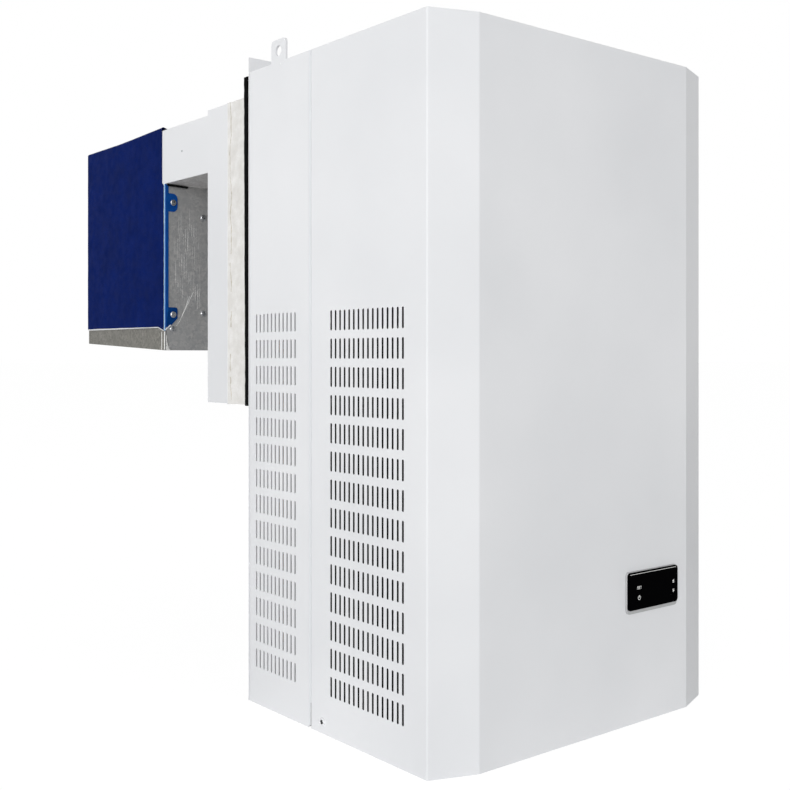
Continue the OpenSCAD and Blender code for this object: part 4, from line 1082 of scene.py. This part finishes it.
@dataclass
class EvaporatorHousing(Assembly):
    """Neck, evaporator casing in its blue film, evaporator plate and drip tray."""

    coats: ClassVar[Coats] = {
        Finishes.COIL_COAT: ("neck_cover", "evaporator_casing"),
        # The neck's floor carries painted light: a lighter copy of the galvanised finish
        Finishes.GALVANISED_PAINTED_LIGHT: ("neck_floor",),
        Finishes.GALVANISED: ("evaporator_plate",),
        Finishes.ZINC: ("casing_screws",),
        # The drip tray carries painted shade: a darker copy of the galvanised finish
        Finishes.TRAY_SHEET: ("drip_tray",),
        Finishes.FILM: ("fan_panel",),
    }
    flange_depth: float = 2.5
    lower_tab_z: float = -52
    film_gap: float = 0.3
    film_cell: float = 4.5
    film_fold: float = 2.7
    film_low: float = -87.2
    film_back: float = 5.6
    lift: float = 4.4
    lift_width: float = 14
    lift_rise: float = 32
    notch: tuple[float, float] = (258, -88.2)
    notch_reach: float = 15
    notch_fall: float = 4.3
    tab_x: float = 182.6
    plate_screw_x: float = 135
    rivet: tuple[float, float] = (191.3, 145.6)
    rivet_radius: float = 1.3
    scratch_count: int = 46
    scratch_low: tuple[float, float] = (140, -70)
    scratch_room: tuple[float, float] = (40, 120)

    def dress(self) -> None:
        """Gives each node its finish, and the casing's folded flange its own film: a painted highlight on the
        bend, a lighter copy above the lower tab as painted light, and a darker copy on the lower tab as
        painted shade.
        """
        super().dress()
        name = "evaporator_casing"
        coats = [Finishes.FILM_FLANGE_LIT, Finishes.FILM_BEND_HIGHLIGHT, Finishes.FILM_SHADED]
        flange_lit, bend_highlight, shaded = [self.recoat(name, coat) for coat in coats]
        back = (reach(name).front + self.flange_depth) * MM
        top = (reach("neck_cover").base - 1) * MM
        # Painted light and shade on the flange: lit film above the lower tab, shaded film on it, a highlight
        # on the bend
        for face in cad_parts[name].data.polygons:
            if face.center.y < back and face.center.z < top and face.normal.y < -0.02:
                flat = shaded if face.center.z < self.lower_tab_z * MM else flange_lit
                # Bend faces, turned partly to the side, get the painted highlight
                face.material_index = bend_highlight if face.normal.y > -0.7 else flat

    def build(self) -> None:
        """Adds the film over the casing, the screws, the tray's folded corners and the neck's rivets."""
        self.film()
        self.screws()
        self.corners()
        self.scratches()
        self.seal()

    def film(self) -> None:
        """Adds the film as a thin skin that sags, and lifts off the casing's top beside the neck."""
        casing = reach("evaporator_casing")
        side, top = casing.right + self.film_gap, casing.top + self.film_gap
        near, far = casing.front + self.flange_depth, casing.back - self.film_gap
        low, high = at(-side, near, self.film_low), at(side, far, top)
        shape = rough_box(low, high, self.film_cell * MM, self.film_fold * MM)
        for axis in ((0, 1, 0), (0, -1, 0), (0, 0, -1)):
            open_ends(shape, Vector(axis))
        shape.normal_update()
        neck_low = reach("neck_cover").base
        for v in shape.verts:
            away = (v.co.y / MM - near) / (far - near)
            sag = 0.16 + 0.2 * ripple(v.co, 38) + 0.1 * ripple(v.co, 11, 4)
            v.co += v.normal * max(0.03, sag) * MM
            x, y, z = v.co / MM
            rise = max(0, (z - casing.top + self.lift_rise) / self.lift_rise)
            corner = max(0, 1 - (side - abs(x)) / self.lift_width)
            v.co.z += rise * (self.lift * corner * max(0, 1 - away * 1.7) ** 1.2 + 0.2) * MM
            if y < near + 0.1:
                back = self.film_back if v.co.z / MM > neck_low else 0
                v.co.y += (back + 0.5 * ripple(v.co, 9, 2)) * MM
            if v.co.z / MM < self.film_low + 0.2:
                fall = self.notch_fall * max(0, self.notch[0] - v.co.y / MM) / self.notch_reach
                v.co.z += (0.9 * away - fall + 0.3 * ripple(v.co, 20, 7)) * MM
        bmesh.ops.solidify(shape, geom=shape.faces, thickness=-0.1 * MM)
        smooth(new_piece("protective_film", shape, Finishes.FILM), 50)

    def screws(self) -> None:
        """Adds the zinc plated pan head screws of the tabs, of the plate and of the tray."""
        tab, plate = reach("evaporator_casing").front, reach("evaporator_plate").front
        drawn = (
            (self.tab_x, tab, 83, 10),
            (self.tab_x, tab, -70.5, 35),
            (self.plate_screw_x, plate, 66, 60),
            (self.plate_screw_x, plate, -68, 25),
            (self.tab_x, plate, -90, 5),
        )
        seats = [(side.at(x, y, z), 0, turn) for side in Side for x, y, z, turn in drawn]
        screws = new_piece("pan_head_screws", PanHead().several(seats), Finishes.ZINC)
        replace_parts(smooth(screws), "casing_screws")

    def corners(self) -> None:
        """Adds painted highlights and a painted shadow line at the tray's folded corners, short bright
        strokes beside the seam, the casing's cut corners and the blind rivets of the neck.
        """
        highlight_beads, shadow_lines, cuts, rivets = (bmesh.new() for _ in range(4))
        casing, tray, neck = reach("evaporator_casing"), reach("drip_tray"), reach("neck_cover")
        plate_y = reach("evaporator_plate").front - 0.1
        x, seam_x = tray.right - 0.2, tray.right - 1.1
        outer = casing.right + self.film_gap
        notch_y, notch_z = self.notch
        for side in Side:
            # Painted highlights: two bright beads up each folded corner of the tray
            for y, radius in ((tray.front + 0.4, 0.9), (tray.front + 8.7, 0.7)):
                rod(highlight_beads, side.at(x, y, tray.base + 0.9), side.at(x, y, -94), radius * MM, 10)
            # Painted shadow: a dark rod in the gap of each folded corner, in the rubber finish
            low = side.at(seam_x, plate_y, tray.base + 0.7)
            rod(shadow_lines, low, side.at(seam_x, plate_y, -93), 0.45 * MM)
            # Short bright strokes beside the seam, in the same finish
            for step in range(10):
                low = side.at(seam_x - 1 - step * 0.5, plate_y, tray.base + 0.3)
                top = side.at(seam_x - 1 - step * 0.15, plate_y, -99 - 0.12 * step * step)
                rod(highlight_beads, low, top, 0.4 * MM, 6)
            low, top = side.at(outer, 243, casing.base + 0.25), side.at(outer, notch_y, notch_z)
            rod(cuts, top, low, 0.55 * MM, 8)
            low, top = side.at(outer - 1, neck.back, -91.5), side.at(outer - 9, neck.back, -85)
            rod(cuts, low, top, 0.8 * MM, 8)
            near, far = (side.at(outer, y, notch_z + 0.1) for y in (notch_y, casing.back - 1.5))
            rod(cuts, near, far, 0.3 * MM, 8)
            low, top = (side.at(neck.right + out, *self.rivet) for out in (-1, 0.5))
            rod(rivets, low, top, self.rivet_radius * MM)
        smooth(new_piece("tray_corner_highlight_beads", highlight_beads, Finishes.BRIGHT_ZINC))
        smooth(new_piece("tray_corner_shadow_lines", shadow_lines, Finishes.RUBBER))
        smooth(new_piece("casing_cut_edges", cuts, Finishes.COIL_COAT))
        smooth(new_piece("neck_rivets", rivets, Finishes.ZINC))

    def scratches(self) -> None:
        """Adds fine bright scratches on the evaporator plate: upright ones, and two long slanting ones."""
        marks = bmesh.new()
        y = reach("evaporator_plate").front
        for side in Side:
            for number in range(self.scratch_count):
                x = side.value * (self.scratch_low[0] + self.scratch_room[0] * (number * 0.618 % 1))
                z = self.scratch_low[1] + self.scratch_room[1] * (number * 0.414 % 1)
                length = 8 + 30 * (number * 0.732 % 1)
                rod(marks, at(x, y, z), at(x + 0.3, y, z + length), 0.06 * MM, 4)
            for x0, z0, x1, z1 in ((150.2, -38, 172, -80), (156, -44, 168, -72), (172, -80, 177, -86)):
                rod(marks, side.at(x0, y, z0), side.at(x1, y, z1), 0.24 * MM, 4)
        new_piece("plate_scratches", marks, Finishes.BRIGHT_ZINC)

    def seal(self) -> None:
        """Adds the strip that closes the joint of the neck's floor and the evaporator plate."""
        plate, neck = reach("evaporator_plate"), reach("neck_cover")
        x = plate.right - 1.4
        low = at(-x, neck.back - 0.2, neck.base - 0.6)
        strip = rough_box(low, at(x, plate.front + 0.4, neck.base + 1.6), 20 * MM)
        # Painted light, as on the neck's floor
        new_piece("neck_joint_strip", strip, Finishes.GALVANISED_PAINTED_LIGHT)


@dataclass
class EvaporatorUnit(Assembly):
    """Coil, heater, fan and sensor inside the evaporator casing."""

    coats: ClassVar[Coats] = {
        Finishes.FIN_STOCK: ("evaporator_fins",),
        Finishes.COPPER: ("evaporator_tubes",),
        Finishes.GALVANISED: ("evaporator_end_plates",),
        Finishes.STAINLESS: ("defrost_heater", "room_sensor"),
        Finishes.CAST_PAINT: ("evaporator_fan_motor",),
        Finishes.BLADE: ("evaporator_fan_blades",),
        Finishes.COATED_WIRE: ("evaporator_fan_guard",),
        Finishes.CABLE_PVC: ("sensor_lead",),
    }
    lead_radius: float = 1.4
    cap_radius: float = 2

    def build(self) -> None:
        """Adds the sensor's lead as it lies in the corner of the neck and the plate."""
        route = (
            (-90, -46.4, 106.5),
            (-90, -46.4, 145),
            (-90, 237.6, 145),
            (-191, 237.6, 145),
            (-191, 237.6, 106.4),
            (-161.5, 238.6, 105.7),
            (-161.5, 251.5, 105.7),
            (-110, 251.5, 105.7),
            (-110, 251.5, 97.4),
        )
        lead = bmesh.new()
        for start, end in zip(route, route[1:]):
            rod(lead, at(*start), at(*end), self.lead_radius * MM, 12)
            ball(lead, at(*end), self.lead_radius * MM)
        made = smooth(new_piece("sensor_lead_laid", lead, Finishes.CABLE_PVC))
        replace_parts(made, "sensor_lead")
        caps = bmesh.new()
        rod(caps, at(-155, 241.2, 104.4), at(-155, 241.6, 104.4), self.cap_radius * MM)
        rod(caps, at(-187, 236.5, 107.7), at(-187, 236.5, 108.3), self.cap_radius * MM)
        smooth(new_piece("lead_hole_caps", caps, Finishes.GALVANISED))


@dataclass
class CondensingUnit(Assembly):
    """Compressor, condenser, its fan, and the pipes inside the cabinet."""

    coats: ClassVar[Coats] = {
        Finishes.ENAMEL: ("compressor_shell", "compressor_feet"),
        Finishes.RUBBER: ("compressor_grommets",),
        Finishes.ZINC: ("compressor_bolts",),
        Finishes.BLACK_NYLON: ("compressor_terminal_cover",),
        Finishes.COATED_FINS: ("condenser_fins",),
        Finishes.COPPER: (
            "condenser_tubes",
            "filter_drier",
            "discharge_pipe",
            "suction_pipe",
            "condenser_outlet_pipe",
            "liquid_pipe",
        ),
        Finishes.GALVANISED: ("condenser_end_plates", "condenser_shroud"),
        Finishes.CAST_PAINT: ("condenser_fan_motor",),
        Finishes.BLADE: ("condenser_fan_blades",),
        Finishes.GREY_PVC: ("condensate_tray",),
    }


@dataclass
class Electrics(Assembly):
    """Electrical box with what it holds, and the mains gland."""

    coats: ClassVar[Coats] = {
        Finishes.GALVANISED: ("electrical_box", "electrical_box_cover"),
        Finishes.MELAMINE: ("terminal_block",),
        Finishes.BLACK_NYLON: ("contactor", "mains_gland"),
        Finishes.WHITE_CAN: ("run_capacitor",),
    }


@dataclass
class ControlPanel(Assembly):
    """Controller in the front, with a polished face, a grey band and four keys."""

    coats: ClassVar[Coats] = {
        Finishes.GREY_ABS: ("controller_housing",),
        Finishes.GLOSS_FACE: ("controller_face", "key_set", "key_power", "key_up", "key_down"),
    }
    ink: float = 0.06
    line_half: float = 40.5
    line_low: float = 2.3
    line_high: float = 1.8
    mark_shift: float = 0.05
    stroke: float = 0.6
    letter_height: float = 3.2
    ring_radius: float = 2.1
    ring_dots: int = 15

    def build(self) -> None:
        """Adds the light line of the face and the marks of the keys, which ride on their keys."""
        face = reach("controller_face")
        middle = (face.left + face.right) / 2
        # A thin light bar across the face just below its top edge, in the same white finish as the key marks
        line = bmesh.new()
        low = at(middle - self.line_half, face.front - self.ink, face.top - self.line_low)
        box(line, low, at(middle + self.line_half, face.front, face.top - self.line_high))
        new_piece("face_light_line", line, Finishes.KEY_INK, CABINET)
        marks = {"set": self.set_mark, "power": self.power_mark, "up": self.up_mark}
        marks["down"] = self.down_mark
        for name, mark in marks.items():
            key = reach(f"key_{name}")
            x, z = (key.left + key.right) / 2 + self.mark_shift, (key.base + key.top) / 2
            shape = bmesh.new()
            mark(shape)
            bmesh.ops.translate(shape, vec=at(x, face.front - self.ink / 2, z), verts=shape.verts)
            body = f"{name}_key"
            new_piece(f"{body}_mark", shape, Finishes.KEY_INK, body)

    def bar(self, shape: bmesh.types.BMesh, x0: float, z0: float, x1: float, z1: float) -> None:
        """Adds a printed bar between two corners, in millimetres from the mark's middle."""
        box(shape, at(x0, -self.ink / 2, z0), at(x1, self.ink / 2, z1))

    def set_mark(self, shape: bmesh.types.BMesh) -> None:
        """Adds the three letters of the set key, made of bars."""
        w, top = self.stroke, self.letter_height
        high, middle, low = top - w, 1.3, 1.9
        letters = {
            -3.6: (
                (0, high, 2, top),
                (0, low, w, high),
                (0, middle, 2, low),
                (1.4, w, 2, middle),
                (0, 0, 2, w),
            ),
            -1.0: ((0, 0, w, top), (w, high, 2, top), (w, middle, 1.7, low), (w, 0, 2, w)),
            1.6: ((0, high, 2, top), (0.7, 0, 1.3, high)),
        }
        for left, strokes in letters.items():
            for x0, z0, x1, z1 in strokes:
                self.bar(shape, left + x0, z0 - top / 2, left + x1, z1 - top / 2)

    def power_mark(self, shape: bmesh.types.BMesh) -> None:
        """Adds the power key's open ring with its upright bar."""
        self.bar(shape, -0.35, 0.2, 0.35, 3)
        for i in range(self.ring_dots):
            turn = math.radians(125 + i * 290 / (self.ring_dots - 1))
            x, z = self.ring_radius * math.cos(turn), self.ring_radius * math.sin(turn)
            self.bar(shape, x - 0.38, z - 0.38, x + 0.38, z + 0.38)

    def arrow(self, shape: bmesh.types.BMesh, way: int) -> None:
        """Adds an arrow that points up for 1 and down for -1."""
        turn = Matrix.Rotation(math.pi / 2, 4, "X") @ Matrix.Rotation(way * math.pi / 2, 4, "Z")
        size = {"segments": 3, "radius1": 2 * MM, "radius2": 2 * MM, "depth": self.ink * MM}
        bmesh.ops.create_cone(shape, cap_ends=True, matrix=turn, **size)
        self.bar(shape, -1.6, -1.7 * way - 0.3, 1.6, -1.7 * way + 0.3)

    def up_mark(self, shape: bmesh.types.BMesh) -> None:
        """Adds the arrow of the up key."""
        self.arrow(shape, 1)

    def down_mark(self, shape: bmesh.types.BMesh) -> None:
        """Adds the arrow of the down key."""
        self.arrow(shape, -1)


def assemblies() -> Iterable[Assembly]:
    """Gives the unit's sub-assemblies in the order in which they are built."""
    yield Cabinet()
    yield WallPlug()
    yield EvaporatorHousing()
    yield EvaporatorUnit(round=True)
    yield CondensingUnit(round=True)
    yield Electrics(round=True)
    yield ControlPanel()


def main() -> None:
    """Builds the camera, the unit and the stage in order."""
    logging.basicConfig(level=logging.INFO, format="%(message)s")
    bpy.context.scene.view_settings.view_transform = "Standard"
    PhotoCamera().build()
    for part in assemblies():
        part.dress()
        part.build()
    Stage(floor_z=cad_low.z).build()


if __name__ == "__main__":
    main()
